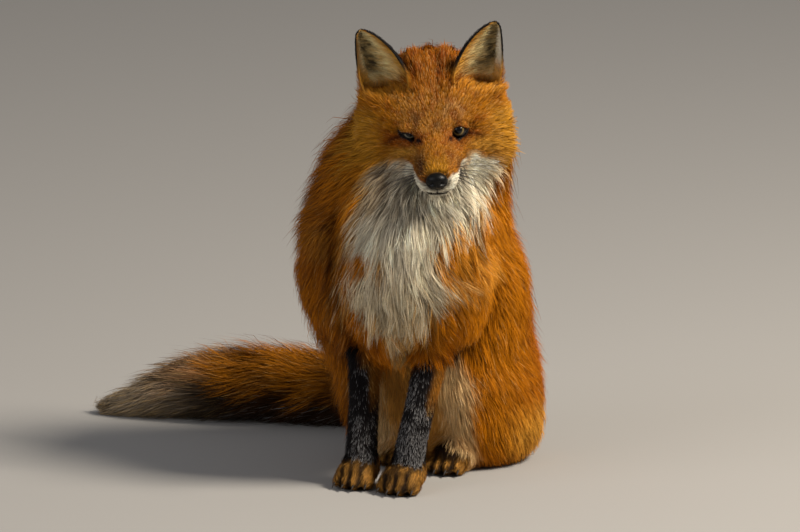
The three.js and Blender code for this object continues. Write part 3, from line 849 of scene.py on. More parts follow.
def hollowed(outer, depth):
    """The surface that lies inside `outer` by a depth given at each of its points."""
    transform = openvdb.createLinearTransform(voxelSize=VOXEL)
    grid = openvdb.FloatGrid.createLevelSetFromPolygons(
        outer.points.astype(np.float32), triangles=outer.triangles.astype(np.uint32),
        transform=transform, halfWidth=BAND,
    )
    low, high = grid.evalActiveVoxelBoundingBox()
    distance = np.empty(np.subtract(high, low) + 1, np.float32)
    grid.copyToArray(distance, ijk=low)
    coarse = distance[::CELL, ::CELL, ::CELL]
    cells = np.argwhere(np.abs(coarse) < 0.97 * BAND * VOXEL)
    found = nearest(tree_of(outer.points), (np.array(low) + CELL * cells) * VOXEL)
    filled, weight = np.zeros(coarse.shape), np.zeros(coarse.shape)
    filled[tuple(cells.T)] = depth[found]
    weight[tuple(cells.T)] = 1
    filled = averaged(filled, 3) / np.maximum(averaged(weight, 3), 1e-6)
    distance = distance + stretched(filled, distance.shape)
    inner = openvdb.FloatGrid(BAND * VOXEL)
    inner.transform = transform
    inner.copyFromArray(distance.astype(np.float32), ijk=low)
    points, _, quads = inner.convertToPolygons(isovalue=0.0, adaptivity=0)
    return outer_shell(points.astype(float), halved(quads.astype(np.int64)))


def make_skin():
    mesh, spots, owners = flesh_and_samples()
    mesh = remeshed(mesh)
    points, triangles = outer_shell(*mesh_arrays(mesh))
    bpy.data.meshes.remove(mesh)
    owner_tree = tree_of(spots)
    labels = owners[nearest(owner_tree, points)]
    outer = Surface(points, triangles)
    strength = outer.spread(of_each_node(SMOOTHING, 1.0)[labels], 6)
    outer.even(80, 0.55 * strength, 0.5 * strength)
    sizes = outer.spread(coat_sizes(outer.points, labels), 24)
    points, triangles = hollowed(outer, sizes[:, 0] * MM)
    outer_tree = tree_of(outer.points)
    surface = Surface(points, triangles)
    deep = ramp(sizes[nearest(outer_tree, points), 0], 5, 15)
    surface.even(20, 0.1 + 0.45 * deep, 0.08 + 0.42 * deep)
    centre = head_mm(surface.points)[triangles].mean(1)
    front = (centre[:, 1] < 26) & (np.abs(centre[:, 0]) < 50) & (np.abs(centre[:, 2] + 16) < 48)
    points, triangles = refined(surface.points, triangles, front)
    centre = head_mm(points)[triangles].mean(1)
    eyes = (np.hypot(np.abs(centre[:, 0]) - LID_X, centre[:, 2]) < 17) & (centre[:, 1] < 30)
    points, triangles = refined(points, triangles, eyes)
    surface = Surface(points, triangles)
    near_face = ((head_mm(points)[:, 1] < 30) & (points[:, 2] > 0.3)).astype(float)
    surface.points = surface.spread(surface.points, 5, 0.5 * near_face)
    sizes = surface.spread(sizes[nearest(outer_tree, surface.points)], 12)
    normals = unit(surface.spread(surface.normals(), 4))
    outside = surface.points + normals * sizes[:, :1] * MM
    labels = owners[nearest(owner_tree, outside)]
    surface.points = shape_mouth(shape_lids(surface.points, labels), labels)
    surface.points[:, 2] = np.maximum(surface.points[:, 2], 0.6 * MM)
    return surface, labels, sizes, outside


skin, labels, sizes, outside = make_skin()
print("skin", len(skin.points), len(skin.triangles), flush=True)


# ---- growing the hairs ----
STEPS = 3  # each hair is bent at two places
UV_PATCH = 0.003  # the size of each hair's own place in the unwrapped picture


class Ground:
    """What hairs grow on: a surface with its lie, sizes and markings."""

    def __init__(self, surface, sizes, flow, colour, shares):
        self.surface = surface
        self.sizes = sizes
        self.normals = unit(surface.spread(surface.normals(), 2))
        self.flow = unit(flow - self.normals * dot(flow, self.normals)[:, None])
        self.colour = colour
        self.shares = shares
        self.areas = surface.areas()
        self.tree = tree_of(surface.points)


def pick_roots(ground, weight, count, rng):
    """Roots spread evenly by weight over the surface: triangle numbers and shares of their corners."""
    total = np.cumsum(ground.areas * weight)
    places = (np.arange(count) + rng.random(count)) / count * total[-1]
    triangle = np.searchsorted(total, places).clip(0, len(total) - 1)
    r1, r2 = np.sqrt(rng.random(count)), rng.random(count)
    return triangle, np.stack([1 - r1, r1 * (1 - r2), r1 * r2], 1)


def turned(v, axis, angle):
    c, s = np.cos(angle)[:, None], np.sin(angle)[:, None]
    return v * c + np.cross(axis, v) * s + axis * (dot(axis, v)[:, None] * (1 - c))


def grow(name, ground, weight, count, rng, clump, draw, follow=True, width=1.0, sway=0.1,
         contrast=0.25, most=2.0):
    """Grows hairs and returns a coat mesh.

    `clump` is hairs to a lock, `draw` how far its tips meet and `most` the highest share of the coat's depth.
    """
    count = int(count * SHARE)
    triangle, corner = pick_roots(ground, weight, count, rng)
    ids = ground.surface.triangles[triangle]

    def at(values):
        return np.einsum("nk,nk...->n...", corner, values[ids])

    root, normal = at(ground.surface.points), unit(at(ground.normals))
    flow, sizes, colour, shares = at(ground.flow), at(ground.sizes), at(ground.colour), at(ground.shares)
    p_mm = root / MM
    length = sizes[:, 1] * rng.normal(1, 0.16, count).clip(0.55, 1.45)
    depth = sizes[:, 0] * rng.normal(0.92, 0.2, count).clip(0.4, 1.5)
    bend = rng.normal(1.5, 0.25, count).clip(1.05, 2.1)
    luck = rng.random(count)
    longer = 1 + 0.35 * (luck < 0.4 * shares[:, 1])  # guard hairs
    length = length * longer
    depth = np.minimum(depth * longer, most * sizes[:, 0])
    turn = sway * ((noise(p_mm, 26, 11) - 0.5) * 2.6 + (noise(p_mm, 8, 12) - 0.5) * 1.6)
    turn += rng.normal(0, 0.09, count)
    line = np.empty((count, STEPS + 1, 3))
    line[:, 0] = root
    heading = turned(unit(flow), normal, turn)
    up = normal
    for k in range(1, STEPS + 1):
        s = k / STEPS
        rise = depth * (1 - (1 - s) ** bend)
        last = depth * (1 - (1 - (s - 1 / STEPS)) ** bend)
        run = np.sqrt(np.maximum((length / STEPS) ** 2 - (rise - last) ** 2, (0.3 * length / STEPS) ** 2))
        q = line[:, k - 1] + heading * run[:, None] * MM
        if follow:
            i = nearest(ground.tree, q)
            up = ground.normals[i]
            over = dot(q - ground.surface.points[i], up)
            q = q + up * (rise * MM - over)[:, None]
            heading = unit(0.5 * heading + 0.5 * turned(ground.flow[i], up, turn))
        else:
            q = q + up * ((rise - last) * MM)[:, None]
        line[:, k] = q
    locks = max(1, count // clump)
    seeds = rng.choice(count, locks, replace=False)
    owner = seeds[nearest(tree_of(root[seeds]), root)]
    s = np.linspace(0, 1, STEPS + 1)
    pull = draw * s**1.4 * rng.normal(1, 0.2, count).clip(0.4, 1.3)[:, None]
    line = line + (line[owner] - line) * pull[:, :, None]
    line[:, :, 2] = np.maximum(line[:, :, 2], 0.8 * MM)
    wide = sizes[:, 2] * width / SHARE**0.5
    return ribbons(name, line, wide, normal, colour, shares, owner, root, rng, contrast, luck)


def box_map(root, normal):
    """The skin unwrapped by the six ways it can face, each in its own cell."""
    axis = np.abs(normal).argmax(1)
    way = axis * 2 + (normal[np.arange(len(normal)), axis] > 0)
    low, high = root.min(0), root.max(0)
    flat = (root - low) / (high - low).max()
    rest = np.array([[1, 2], [0, 2], [0, 1]])[axis]
    uv = flat[np.arange(len(flat))[:, None], rest]
    cell = np.stack([way % 3, way // 3], 1)
    return (0.01 + 0.98 * uv) / np.array([3, 3]) * 0.98 + cell / 3 + 0.004


def hair_colours(share, colour, shares, owner, rng, contrast, luck):
    """Colours of each hair's points, which lie at these shares of the way from root to tip."""
    ash, dark, pale = shares.T
    lock = hashed(np.stack([owner, owner * 0, owner * 0], 1), 7)
    bright = (1 - contrast / 2 + contrast * lock) * np.exp(rng.normal(0, 0.09, len(owner)))
    light = dot(colour, np.ones(3))[:, None]
    grey = np.where(light > 1.0, SMOKE * 0.4, tone(74, 42, 22))
    root = mix(colour * 0.72, grey, clipped(ash * (0.6 + 0.8 * rng.random(len(owner)))))
    frost = np.where(light > 1.0, WHITE, np.where(light < 0.06, tone(206, 202, 200), tone(234, 190, 120)))
    tip = np.where((luck < dark)[:, None], colour * 0.12 + 0.01, colour * 1.06)
    tip = np.where((luck > 1 - pale)[:, None], mix_value(colour, frost, 0.75), tip)
    body_part = ramp(share[None], 0.12, 0.38 + 0.4 * ash[:, None])[:, :, None]
    tip_part = ramp(share, 0.62, 0.92)[:, None]
    shade = mix_value(root[:, None], colour[:, None], body_part)
    shade = mix_value(shade, tip[:, None], tip_part)
    return np.clip(shade * bright[:, None, None], 0.002, 0.95)


def ribbons(name, line, width, normal, colour, shares, owner, root, rng, contrast, luck):
    """One narrow tapered strip for each hair, with its colours from root to tip."""
    n, rings = line.shape[:2]
    along = unit(np.gradient(line, axis=1))
    roll = rng.normal(0, 0.35, n)[:, None, None]
    side = unit(np.cross(along, normal[:, None, :]))
    side = side * np.cos(roll) + np.cross(side, along) * np.sin(roll)
    s = np.linspace(0, 1, rings)
    taper = np.interp(s, [0, 0.25, 0.7, 1], [0.75, 1.0, 0.72, 0.0])
    half = (width * rng.normal(1, 0.15, n).clip(0.6, 1.5) * MM / 2)[:, None] * taper
    left = line - side * half[:, :, None]
    right = line + side * half[:, :, None]
    points = np.concatenate([left[:, :-1], right[:, :-1], line[:, -1:]], 1)
    m = rings - 1  # points on each edge below the tip
    quads = np.array([[k, m + k, m + k + 1, k + 1] for k in range(m - 1)]).ravel()
    corners = np.concatenate([quads, [m - 1, 2 * m - 1, 2 * m]])
    base = np.arange(n)[:, None]
    all_corners = (corners + base * points.shape[1]).ravel()
    all_starts = (np.arange(m) * 4 + base * len(corners)).ravel()
    share = np.concatenate([s[:-1], s[:-1], [1.0]])
    shade = hair_colours(share, colour, shares, owner, rng, contrast, luck)
    across = np.concatenate([np.zeros(m), np.ones(m), [0.5]])
    uv = box_map(root, normal)[:, None] + np.stack([across, share], 1) * UV_PATCH
    uv = uv.reshape(-1, 2)[all_corners]
    return new_mesh(name, points.reshape(-1, 3), all_corners, all_starts, uv, shade.reshape(-1, 3))


# ---- materials ----
class Look:
    """A material and short ways to add nodes to it; in names of inputs _ stands for a space."""

    def __init__(self, name, **values):
        self.material = bpy.data.materials.new(name)
        self.material.use_nodes = True
        self.tree = self.material.node_tree
        self.shader = self.tree.nodes["Principled BSDF"]
        self.fill(self.shader, values)

    def fill(self, node, values):
        for key, value in values.items():
            node.inputs[key.replace("_", " ")].default_value = value
        return node

    def add(self, kind, **values):
        return self.fill(self.tree.nodes.new("ShaderNode" + kind), values)

    def link(self, source, output, target, entry):
        self.tree.links.new(source.outputs[output], target.inputs[entry])

    def operation(self, word, **values):
        node = self.add("VectorMath", **values)
        node.operation = word
        return node

    def texture(self, kind, **values):
        """A texture in the object's own coordinates."""
        node = self.add(kind, **values)
        self.link(self.add("TexCoord"), "Object", node, "Vector")
        return node

    def bump(self, source, output, strength, distance):
        height = self.add("Bump", Strength=strength, Distance=distance)
        self.link(source, output, height, "Height")
        self.link(height, "Normal", self.shader, "Normal")

    def colours(self, source, output, stops):
        """The base colour, read from stops of place and screen colour."""
        node = self.add("ValToRGB")
        elements = node.color_ramp.elements
        while len(elements) < len(stops):
            elements.new(0.5)
        for element, (place, rgb) in zip(elements, stops):
            element.position = place
            element.color = (*tone(*rgb), 1)
        self.link(source, output, node, "Fac")
        self.link(node, "Color", self.shader, "Base Color")


def coat_material(name, grain, strength, bump=0.0, **values):
    """The colour attribute of the hairs or the hide, a little lighter and darker in grains."""
    look = Look(name, **values)
    colour = look.add("Attribute")
    colour.attribute_name = "coat_colour"
    texture = look.texture("TexNoise", Scale=grain, Detail=3)
    span = look.add("MapRange", To_Min=1 - strength, To_Max=1 + strength)
    scale = look.operation("SCALE")
    look.link(texture, "Fac", span, "Value")
    look.link(colour, "Color", scale, 0)
    look.link(span, "Result", scale, "Scale")
    look.link(scale, "Vector", look.shader, "Base Color")
    if bump:
        look.bump(texture, "Fac", bump, 0.001)
    return look.material


def mottled(name, grain, stops, **values):
    """A colour that wanders between two screen colours."""
    look = Look(name, **values)
    look.colours(look.texture("TexNoise", Scale=grain), "Fac", [(0, stops[0]), (1, stops[1])])
    return look.material


fur = coat_material("fur", 90, 0.14, Roughness=0.6, Specular_IOR_Level=0.06)
hide = coat_material("hide", 700, 0.12, bump=0.4, Roughness=0.7, Specular_IOR_Level=0.12)


# ---- ears ----
def ear_ground(side, shell):
    """The ground of an ear, and 1 in its hollow, 0 on its back, at each point."""
    points, triangles, shares = shell
    surface = Surface(points, triangles)
    t, s, inner = shares.T
    n = len(points)
    grid = points.reshape(2, EAR_RINGS, EAR_STEPS, 3)
    upward = np.gradient(grid, axis=1).reshape(-1, 3)
    outward = np.gradient(grid, axis=2).reshape(-1, 3)
    way = 1 - 2 * ramp(s, 0.66, 0.82)  # hairs cross the hollow from both edges
    across = unit(outward) * way[:, None] + 0.4 * unit(upward)
    rise = np.maximum(ramp(s, 0.07, 0.02), ramp(s, 0.93, 0.98))
    rise = np.maximum(rise, ramp(t, 0.22, 0.1))
    across = mix(across, unit(upward), rise)
    lie = mix(unit(upward), across, inner)
    reach = np.interp(s, [0, 0.05, 0.15, 0.6, 0.75, 0.9, 1], [2.5, 7, 15, 11, 7, 7, 2.5])
    reach *= np.interp(t, [0, 0.6, 1], [1.0, 0.85, 0.4])
    border = np.maximum(ramp(s, 0.14, 0.04), ramp(s, 0.86, 0.96))
    fluff = (ramp(s, 0.7, 0.88) + ramp(s, 0.12, 0.04)) * ramp(t, 0.42, 0.2)  # the edges' feet are fluffy
    sizes = np.stack([
        np.where(inner > 0, 0.24 * reach, 1.3 - 0.8 * border + 3.5 * fluff),
        np.where(inner > 0, reach, (5.5 - 2.5 * t) * (1 - 0.5 * border) + 7 * fluff),
        np.full(n, 0.42),
    ], 1)
    h = head_mm(points)
    fine = noise(h, 6, 9)
    streaks = noise(h * np.array([0.3, 0.3, 1]), 1.6, 10)
    # A painted highlight along the hollow's outer edge: strong on the left ear, which faces the key light,
    # and faint on the right.
    shine = ramp(s, 0.8, 0.88) * ramp(s, 0.985, 0.96) * ramp(t, 0.1, 0.25) * ramp(t, 0.85, 0.65)
    # Painted shade deep in each ear's hollow, which also darkens the hair tips there.
    hollow_shade = ramp(s + 0.16 * (fine - 0.5), 0.44, 0.58) * ramp(s, 0.86, 0.76)
    hollow_shade = hollow_shade * ramp(t, 0.22, 0.36) * ramp(t, 0.94, 0.82)
    inside = painted(
        tone(252, 230, 168),
        ((190, 146, 70), 0.8 * ramp(streaks, 0.45, 0.8)),
        ((216, 156, 50), 0.9 * ramp(s, 0.42, 0.2) + 0.8 * ramp(t, 0.84, 0.95)),
        ((252, 246, 228), shine * (0.9 if side > 0 else 0.2)),
        ((196, 138, 56), 0.8 * ramp(s, 0.84, 0.92) * (side < 0)),
        ((30, 26, 22), 0.95 * hollow_shade * (1 - 0.6 * ramp(streaks, 0.52, 0.66))),
        ((222, 162, 60), 0.9 * ramp(s, 0.7, 0.82) * ramp(t, 0.42, 0.26)),
        ((222, 162, 68), 0.9 * ramp(t + 0.12 * (fine - 0.5), 0.24, 0.1)),
    )
    back = painted(
        BLACK,
        (RUST, ramp(t + 0.1 * (fine - 0.5), 0.26, 0.12)),
        ((186, 122, 36), np.maximum(border, fluff) * ramp(t, 0.48, 0.28)),
    )
    rim = np.maximum(ramp(s, 0.03, 0.01), ramp(s, 0.975, 0.99)) * ramp(t, 0.3, 0.5)
    colour = painted(back, (inside, inner), (BLACK, np.maximum(rim, ramp(t, 0.95, 0.97))))
    hollow_shares = np.stack([np.full(n, 0.1), 0.02 + 0.25 * hollow_shade, np.full(n, 0.15)], 1)
    shares = mix(np.array([0.1, 0.06, 0.02]), hollow_shares, inner)
    return Ground(surface, sizes, lie, colour, shares), inner


# ---- putting the skin together ----
def bare(points):
    """1 where hair grows, 0 on the lids' edges, the nose and the mouth."""
    h = head_mm(points)
    grows = np.ones(len(points))
    for side in SIDES:
        grows *= 1 - ramp(from_opening(h, side), 1.2, 0.7) * beside_eye(h)
    grows *= ramp(egg(h, NOSE_AT, [11.8, 9.0, 9.6]), 1.0, 1.06)
    mouth = (h[:, 1] < 4) & (np.abs(h[:, 2] - MOUTH_Z) < 0.9 + 1.2 * ramp(np.abs(h[:, 0]), 6, 13))
    cleft = (np.abs(h[:, 0]) < 0.7) & (h[:, 1] < CLEFT_Y) & (np.abs(h[:, 2] - CLEFT_Z) < 5)
    return np.where(mouth | cleft, 0, grows)


def dressed(sizes):
    """Longer, deeper or closer hair in places; all is measured on the skin."""
    h, b = head_mm(skin.points), body_mm(skin.points)
    x, y, z = h.T
    on_head = of_label(labels, *HEAD_PARTS)
    close = near_eye(h)
    lips = ramp(np.abs(z - MOUTH_Z), 10, 3) * ramp(y, 6, -4) * on_head
    tuft = before_ear(h) * ramp(y, 24, 40) * on_head
    vee = ramp(np.abs(np.abs(x) - 50), 5, 20)  # the tufts leave a notch below each ear's hollow
    ruff = ramp(x, -45, -70) * ramp(y, 20, 45) * ramp(z, 30, 5) * on_head
    jowl = ramp(x, 42, 60) * ramp(y, 10, 35) * ramp(z, -8, -34) * on_head
    fringe = ramp(b[:, 0], -40, -95) * of_label(labels, "trunk", "neck", "thigh_right")
    slim = ramp(b[:, 0], -50, -90) * ramp(b[:, 2], 200, 240) * ramp(b[:, 2], 360, 310)
    between = ramp(z, 24, 40) * ramp(np.abs(x), 6, 14) * ramp(np.abs(x), 24, 17)  # the two ears
    between *= ramp(y, 15, 35) * ramp(y, 90, 70) * on_head
    mane = ramp(y, 85, 108) * ramp(y, 175, 135) * ramp(np.abs(x), 60, 30)
    mane *= ramp(z, -50, -20) * of_label(labels, "neck", "trunk")
    fuller, slimmer = 1 + 0.08 * fringe, 1 - 0.14 * slim * of_label(labels, "trunk", "neck")
    depth = sizes[:, 0] * (1 - 0.55 * lips) + (3 + 8 * vee) * tuft + 2 * ruff + 10 * jowl
    depth = depth * fuller * slimmer * (1 + 1.3 * between) + 14 * mane
    length = sizes[:, 1] * (1 - 0.7 * close) * (1 - 0.6 * lips)
    length = length + (6 + 9 * vee) * tuft + 9 * ruff + 14 * jowl
    length = length * fuller * slimmer + 8 * mane
    return np.stack([depth, length, sizes[:, 2] * (1 - 0.3 * close)], 1)


def dark_lines():
    """1 on the lids' edges, the line of the mouth and round the nose."""
    h = head_mm(skin.points)
    x, y, z = h.T
    dark = ramp(np.abs(z - MOUTH_Z), 2.2, 1.3) * ramp(y, 6, 0)
    dark = np.maximum(dark, ramp(np.abs(x), 0.9, 0.5) * (y < CLEFT_Y) * ramp(np.abs(z - CLEFT_Z), 6, 5))
    dark = np.maximum(dark, ramp(egg(h, NOSE_AT, [11.5, 8.7, 9.3]), 1.16, 1.08))
    dark = dark * of_label(labels, *HEAD_PARTS)
    for side, rim in zip(SIDES, (0.8, 1.5)):
        dark = np.maximum(dark, ramp(from_opening(h, side), rim + 0.6, rim) * beside_eye(h))
    return dark


flow = skin.spread(coat_flow(outside, labels), 6)
for _ in range(6):
    flow = unit(skin.spread(flow, 8))
shown = outside + flow * sizes[:, 1:2] * 0.45 * MM  # where the hairs of each place end up
colour, shares = markings(shown, labels)
# Warm brown on the forearms' sides that face the key light: painted light.
painted_lit_shank = ramp(skin.normals()[:, 0], 0.6, 0.9) * ramp(body_mm(shown)[:, 2], 80, 115)
painted_lit_shank *= of_label(labels, "forearm_left", "forearm_right")
colour = mix(colour, tone(158, 100, 30), 0.75 * painted_lit_shank)
colour = mix(colour, tone(22, 17, 15), dark_lines())
ground = Ground(skin, dressed(sizes), flow, colour, shares)
ears = [ear_ground(side, ear_shell(side)) for side in SIDES]


def make_skin_object():
    points, triangles, colours = [skin.points], [skin.triangles], [ground.colour * 0.6]
    for ear, _ in ears:
        triangles.append(ear.surface.triangles + sum(len(part) for part in points))
        points.append(ear.surface.points)
        colours.append(ear.colour * 0.8)
    points, triangles, colours = (np.concatenate(parts) for parts in (points, triangles, colours))
    way = np.repeat(unit(faces_of(points, triangles)), 3, axis=0)
    corners = triangles.ravel()
    uv = box_map(points[corners], way)
    mesh = new_mesh("skin", points, corners, np.arange(len(triangles)) * 3, uv, np.clip(colours, 0, 1))
    obj = new_object("skin", mesh, hide)
    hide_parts(*FLESH, "ear_left", "ear_right")


make_skin_object()


# ---- the coat, in pieces ----
triangle_label = labels[skin.triangles[:, 0]]
centres = skin.points[skin.triangles].mean(1)
centre_h = head_mm(centres)


def chosen(*names):
    return of_label(triangle_label, *names)


in_head = chosen(*HEAD_PARTS)
in_face = in_head & (centre_h[:, 1] < 34) & (np.abs(centre_h[:, 0]) < 58)
growing = np.where(in_head, bare(centres), 1)
near = 1 + 1.2 * near_eye(centre_h)
left_side = body_mm(centres)[:, 0] > -5
falling = ground.flow[skin.triangles[:, 0], 2] < -0.35
pieces = [
    # name, where, hairs, hairs to a lock, draw, sway, contrast, width, slot
    ("coat_face", in_face * near, 38000, 7, 0.45, 0.16, 0.6, 0.85, "rust_coat"),
    ("coat_head", in_head & ~in_face, 27000, 8, 0.4, 0.2, 0.35, 0.85, "rust_coat"),
    ("coat_neck", chosen("neck"), 32000, 9, 0.4, 0.25, 0.22, 0.8, "rust_coat"),
    ("coat_chest", chosen("chest") & falling, 37000, 20, 0.66, 0.4, 0.95, 0.75, "pale_coat"),
    ("coat_trunk_left", chosen("trunk") & left_side, 28000, 8, 0.35, 0.2, 0.18, 0.8, "rust_coat"),
    ("coat_trunk_right", chosen("trunk") & ~left_side, 25000, 8, 0.35, 0.2, 0.18, 0.8, "rust_coat"),
    ("coat_haunches", chosen(*THIGHS, "rump"), 32500, 8, 0.35, 0.2, 0.2, 0.8, "rust_coat"),
    ("coat_shoulders", chosen(*UPPER_ARMS), 12000, 8, 0.35, 0.2, 0.2, 0.8, "rust_coat"),
    ("coat_legs", chosen(*FOREARMS), 12000, 5, 0.2, 0.1, 0.3, 1.0, "dark_coat"),
    ("coat_feet", chosen(*FOREPAWS, *HIND_FEET), 10000, 4, 0.2, 0.1, 0.25, 1.0, "paw_coat"),
    ("coat_tail", chosen("tail_base", "tail_middle"), 19000, 10, 0.35, 0.35, 0.3, 0.75, "rust_coat"),
    ("coat_tail_tip", chosen("tail_tip"), 9000, 10, 0.35, 0.35, 0.35, 0.8, "tail_tip_coat"),
]
for number, (name, where, hairs, clump, draw, sway, contrast, width, slot) in enumerate(pieces):
    rng = np.random.default_rng(100 + number)
    most = 1.15 if name == "coat_chest" else 2.0  # no lock stands out alone on the chest
    mesh = grow(name, ground, where * growing, hairs, rng, clump, draw, width=width, sway=sway,
                contrast=contrast, most=most)
    made = new_object(name, mesh, fur)
for side, label, (ear, inner) in zip(SIDES, SIDE_NAMES, ears):
    rng = np.random.default_rng(200 + side)
    weight = 1 + 0.6 * inner[ear.surface.triangles[:, 0]]
    mesh = grow(f"coat_ear_{label}", ear, weight, EAR_HAIRS, rng, 6, 0.3, follow=False)
    new_object(f"coat_ear_{label}", mesh, fur)
total = sum(piece[2] for piece in pieces) + 2 * EAR_HAIRS
print("coat triangles", total * (2 * STEPS - 1), flush=True)


# ---- eyes, nose, whiskers, claws ----
def ball_mesh(name, around, high, reshaped):
    """A smooth ball of radius 1 whose points are moved by `reshaped`."""
    ball = bmesh.new()
    bmesh.ops.create_uvsphere(ball, u_segments=around, v_segments=high, radius=1)
    points = reshaped(np.array([v.co for v in ball.verts], float))
    for v, p in zip(ball.verts, points):
        v.co = p
    return mesh_of(name, ball)


def with_cornea(points):
    """The eyeball in m, a little forward of the ball where the cornea is."""
    points = points * EYE_RADIUS
    off = np.hypot(points[:, 0], points[:, 1])
    dome = CORNEA_RISE * np.maximum(0, 1 - (off / CORNEA_RADIUS) ** 2)
    points[:, 2] += np.where(points[:, 2] > 0, dome, 0)
    return points * MM


def eye_material(name, iris_and_glint):
    """Rings of colour round the pupil, out to the dark edge."""
    look = Look(name, Roughness=0.05, IOR=1.38)
    flat = look.operation("MULTIPLY")
    flat.inputs[1].default_value = (1, 1, 0)
    size = look.operation("LENGTH")
    span = look.add("MapRange", From_Max=10 * MM)
    look.link(look.add("TexCoord"), "Object", flat, 0)
    look.link(flat, "Vector", size, 0)
    look.link(size, "Value", span, "Value")
    look.colours(span, "Result", [
        (0.0, (4, 4, 5)), (PUPIL - 0.03, (4, 4, 5)), (PUPIL + 0.03, (58, 46, 26)), (0.53, iris_and_glint),
        (0.61, (78, 60, 34)), (0.68, (26, 18, 12)), (0.77, (12, 9, 8)),
    ])
    return look.material


def make_eyes():
    # The right eye's grey is a painted reflection in the squinting slit; the left eye has the iris's own
    # colour.
    for side, label, iris_and_glint in zip(SIDES, SIDE_NAMES, ((116, 98, 56), (112, 112, 100))):
        gaze = Vector(unit(HEAD_AXES @ np.array([0.0, -LOOK_COS, LOOK_SIN])))
        turn = gaze.to_track_quat("Z", "Y").to_matrix().to_4x4()
        at = Vector(from_head([[side * EYE_X, EYE_Y, EYE_Z]])[0])
        mesh = ball_mesh(f"eyeball_{label}", 64, 40, with_cornea)
        look = eye_material(f"eye_{label}_look", iris_and_glint)
        obj = new_object(f"eyeball_{label}", mesh, look, Matrix.Translation(at) @ turn)
        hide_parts(f"eye_{label}")


def nose_shape(points):
    """The pad with nostrils, each with a slit that runs back and outwards, and a groove."""
    x, y, z = points.T
    high = np.sign(z) * np.abs(z) ** 0.85
    shape = np.stack([11.5 * x * (1 - 0.16 * ramp(z, 0.1, -1)), 8.6 * y, 9.2 * high], 1)
    for side in SIDES:
        hole = spot(shape[:, 0], shape[:, 2], 5.2 * side, -0.6, 2.3, 2.0)
        slit = spot(shape[:, 0], shape[:, 2], 8.8 * side, -2.4, 3.0, 1.0)
        deep = (2.8 * hole + 1.5 * slit) * ramp(shape[:, 1], 2, -3)
        shape[:, 1] += deep
        shape[:, 0] -= 0.25 * deep * side
    groove = hump(shape[:, 0], 0.7) * ramp(shape[:, 2], 2, -2) * ramp(shape[:, 1], 0, -3)
    shape[:, 1] += 1.1 * groove
    return from_head(shape + NOSE_AT)


def make_nose():
    look = Look("nose_look", Base_Color=(*tone(9, 8, 7), 1), Roughness=0.34, Specular_IOR_Level=0.18)
    look.bump(look.texture("TexVoronoi", Scale=1900), "Distance", 0.35, 0.0002)
    obj = new_object("nose_pad", ball_mesh("nose_pad", 96, 64, nose_shape), look.material)
    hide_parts("nose")


def tubes(name, lines, radii, material, sides=4):
    """Thin tapered rods along lines of points."""
    points, faces = [], []
    for line, radius in zip(lines, radii):
        first, last = len(points), len(points) + (len(line) - 1) * sides
        along = unit(np.gradient(line, axis=0))
        side = unit(np.cross(along, np.array([0.3, 0.4, 0.86])))
        other = np.cross(along, side)
        for k in range(len(line)):
            for j in range(sides):
                a = 2 * math.pi * j / sides
                points.append(line[k] + (side[k] * math.cos(a) + other[k] * math.sin(a)) * radius[k])
        for a in range(first, last):
            b = a + 1 if (a + 1 - first) % sides else a + 1 - sides
            faces.append([a, b, b + sides, a + sides])
        faces.append(range(first, first + sides)[::-1])
        faces.append(range(last, last + sides))
    starts = np.cumsum([0] + [len(face) for face in faces[:-1]])
    obj = new_object(name, new_mesh(name, np.array(points), np.concatenate(faces), starts), material)


def make_whiskers():
    rng = np.random.default_rng(5)
    lines, radii = [], []
    s = np.linspace(0, 1, 12)
    for side in SIDES:
        for row in range(4):
            for k in range(5):
                root = np.array([side * (24.5 - 0.8 * k), -26 - 6.0 * k, -26.5 - 3.2 * row])
                out = np.array([side * (1.0 - 0.05 * k), 0.62 - 0.26 * k + 0.05 * row, 0.12 - 0.22 * row])
                out = unit(out + rng.normal(0, 0.07, 3))
                span = (68 - 8 * k - 4 * row) * rng.normal(1, 0.1)
                droop = np.array([side * -0.04, 0.16, -0.3]) * span
                lines.append(from_head(root + out * span * s[:, None] + droop * s[:, None] ** 2))
                radii.append(np.interp(s, [0, 1], [0.27, 0.06]) * MM)
    material = mottled("whisker_look", 60, [(14, 12, 12), (52, 44, 38)], Roughness=0.4)
    tubes("whiskers", lines, radii, material)


def make_claws():
    lines, radii = [], []
    s = np.linspace(0, 1, 7)
    for toe_x, toe_y, spread, step in TOES:
        for share in (-0.5, -1 / 6, 1 / 6, 0.5):
            root = np.array([toe_x + share * spread, toe_y + abs(share) * step - 8, 8.0])
            line = root + np.stack([s * share * 2, -9 * s, -1.5 * s - 4.0 * s**2], 1)
            lines.append(ZERO + line * MM)
            radii.append(np.interp(s, [0, 0.4, 1], [1.7, 1.4, 0.25]) * MM)
    stops = [(20, 15, 12), (46, 35, 26)]
    material = mottled("claw_look", 300, stops, Roughness=0.5, Specular_IOR_Level=0.2)
    tubes("claws", lines, radii, material, sides=10)


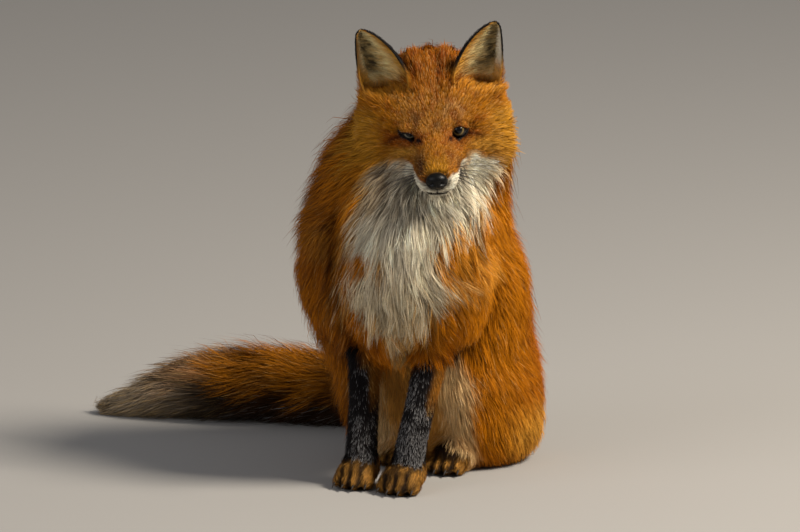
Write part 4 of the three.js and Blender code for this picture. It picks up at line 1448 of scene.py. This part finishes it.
make_eyes()
make_nose()
make_whiskers()
make_claws()


# ---- floor, light and camera ----
LAMP_AIM, CAMERA_AIM = (0.0, 0.08, 0.26), (0.0158, 0.0066, 0.2498)
CAMERA_AZIMUTH, CAMERA_ELEVATION, CAMERA_DISTANCE = 22.0, 12.0, 12.0
SENSOR, LENS = 36.0, 490.9


def make_stage():
    bpy.ops.mesh.primitive_plane_add(size=30)
    floor = bpy.context.active_object
    floor.name = "floor"
    look = Look("floor_look", Base_Color=(*tone(160, 156, 151), 1), Roughness=0.9)
    floor.data.materials.append(look.material)
    world = bpy.data.worlds.new("studio")
    bpy.context.scene.world = world
    world.use_nodes = True
    light = world.node_tree.nodes["Background"].inputs
    light["Color"].default_value = (*tone(206, 208, 214), 1)
    light["Strength"].default_value = 0.32


def aimed(name, data, azimuth, elevation, distance, aim):
    """A lamp or camera that looks at `aim`, which is in m from the CAD's zero."""
    obj = bpy.data.objects.new(name, data)
    bpy.context.scene.collection.objects.link(obj)
    a, e = math.radians(azimuth), math.radians(elevation)
    way = Vector((math.sin(a) * math.cos(e), -math.cos(a) * math.cos(e), math.sin(e)))
    obj.location = Vector(ZERO) + Vector(aim) + way * distance
    obj.rotation_euler = (-way).to_track_quat("-Z", "Y").to_euler()
    return obj


def add_lamp(name, azimuth, elevation, distance, size, power, warmth):
    lamp = bpy.data.lights.new(name, "AREA")
    lamp.size = size
    lamp.energy = power
    lamp.color = warmth
    aimed(name, lamp, azimuth, elevation, distance, LAMP_AIM)


def make_camera():
    camera = bpy.data.cameras.new("camera")
    camera.sensor_width, camera.lens = SENSOR, LENS
    camera.clip_end = 100
    made = aimed("camera", camera, CAMERA_AZIMUTH, CAMERA_ELEVATION, CAMERA_DISTANCE, CAMERA_AIM)
    bpy.context.scene.camera = made


make_stage()
add_lamp("key", 90, 46, 4.0, 1.0, 265, (1.0, 0.93, 0.82))
add_lamp("fill", -30, 28, 5.0, 3.0, 60, (0.92, 0.95, 1.0))
make_camera()
bpy.context.scene.view_settings.view_transform = "Standard"
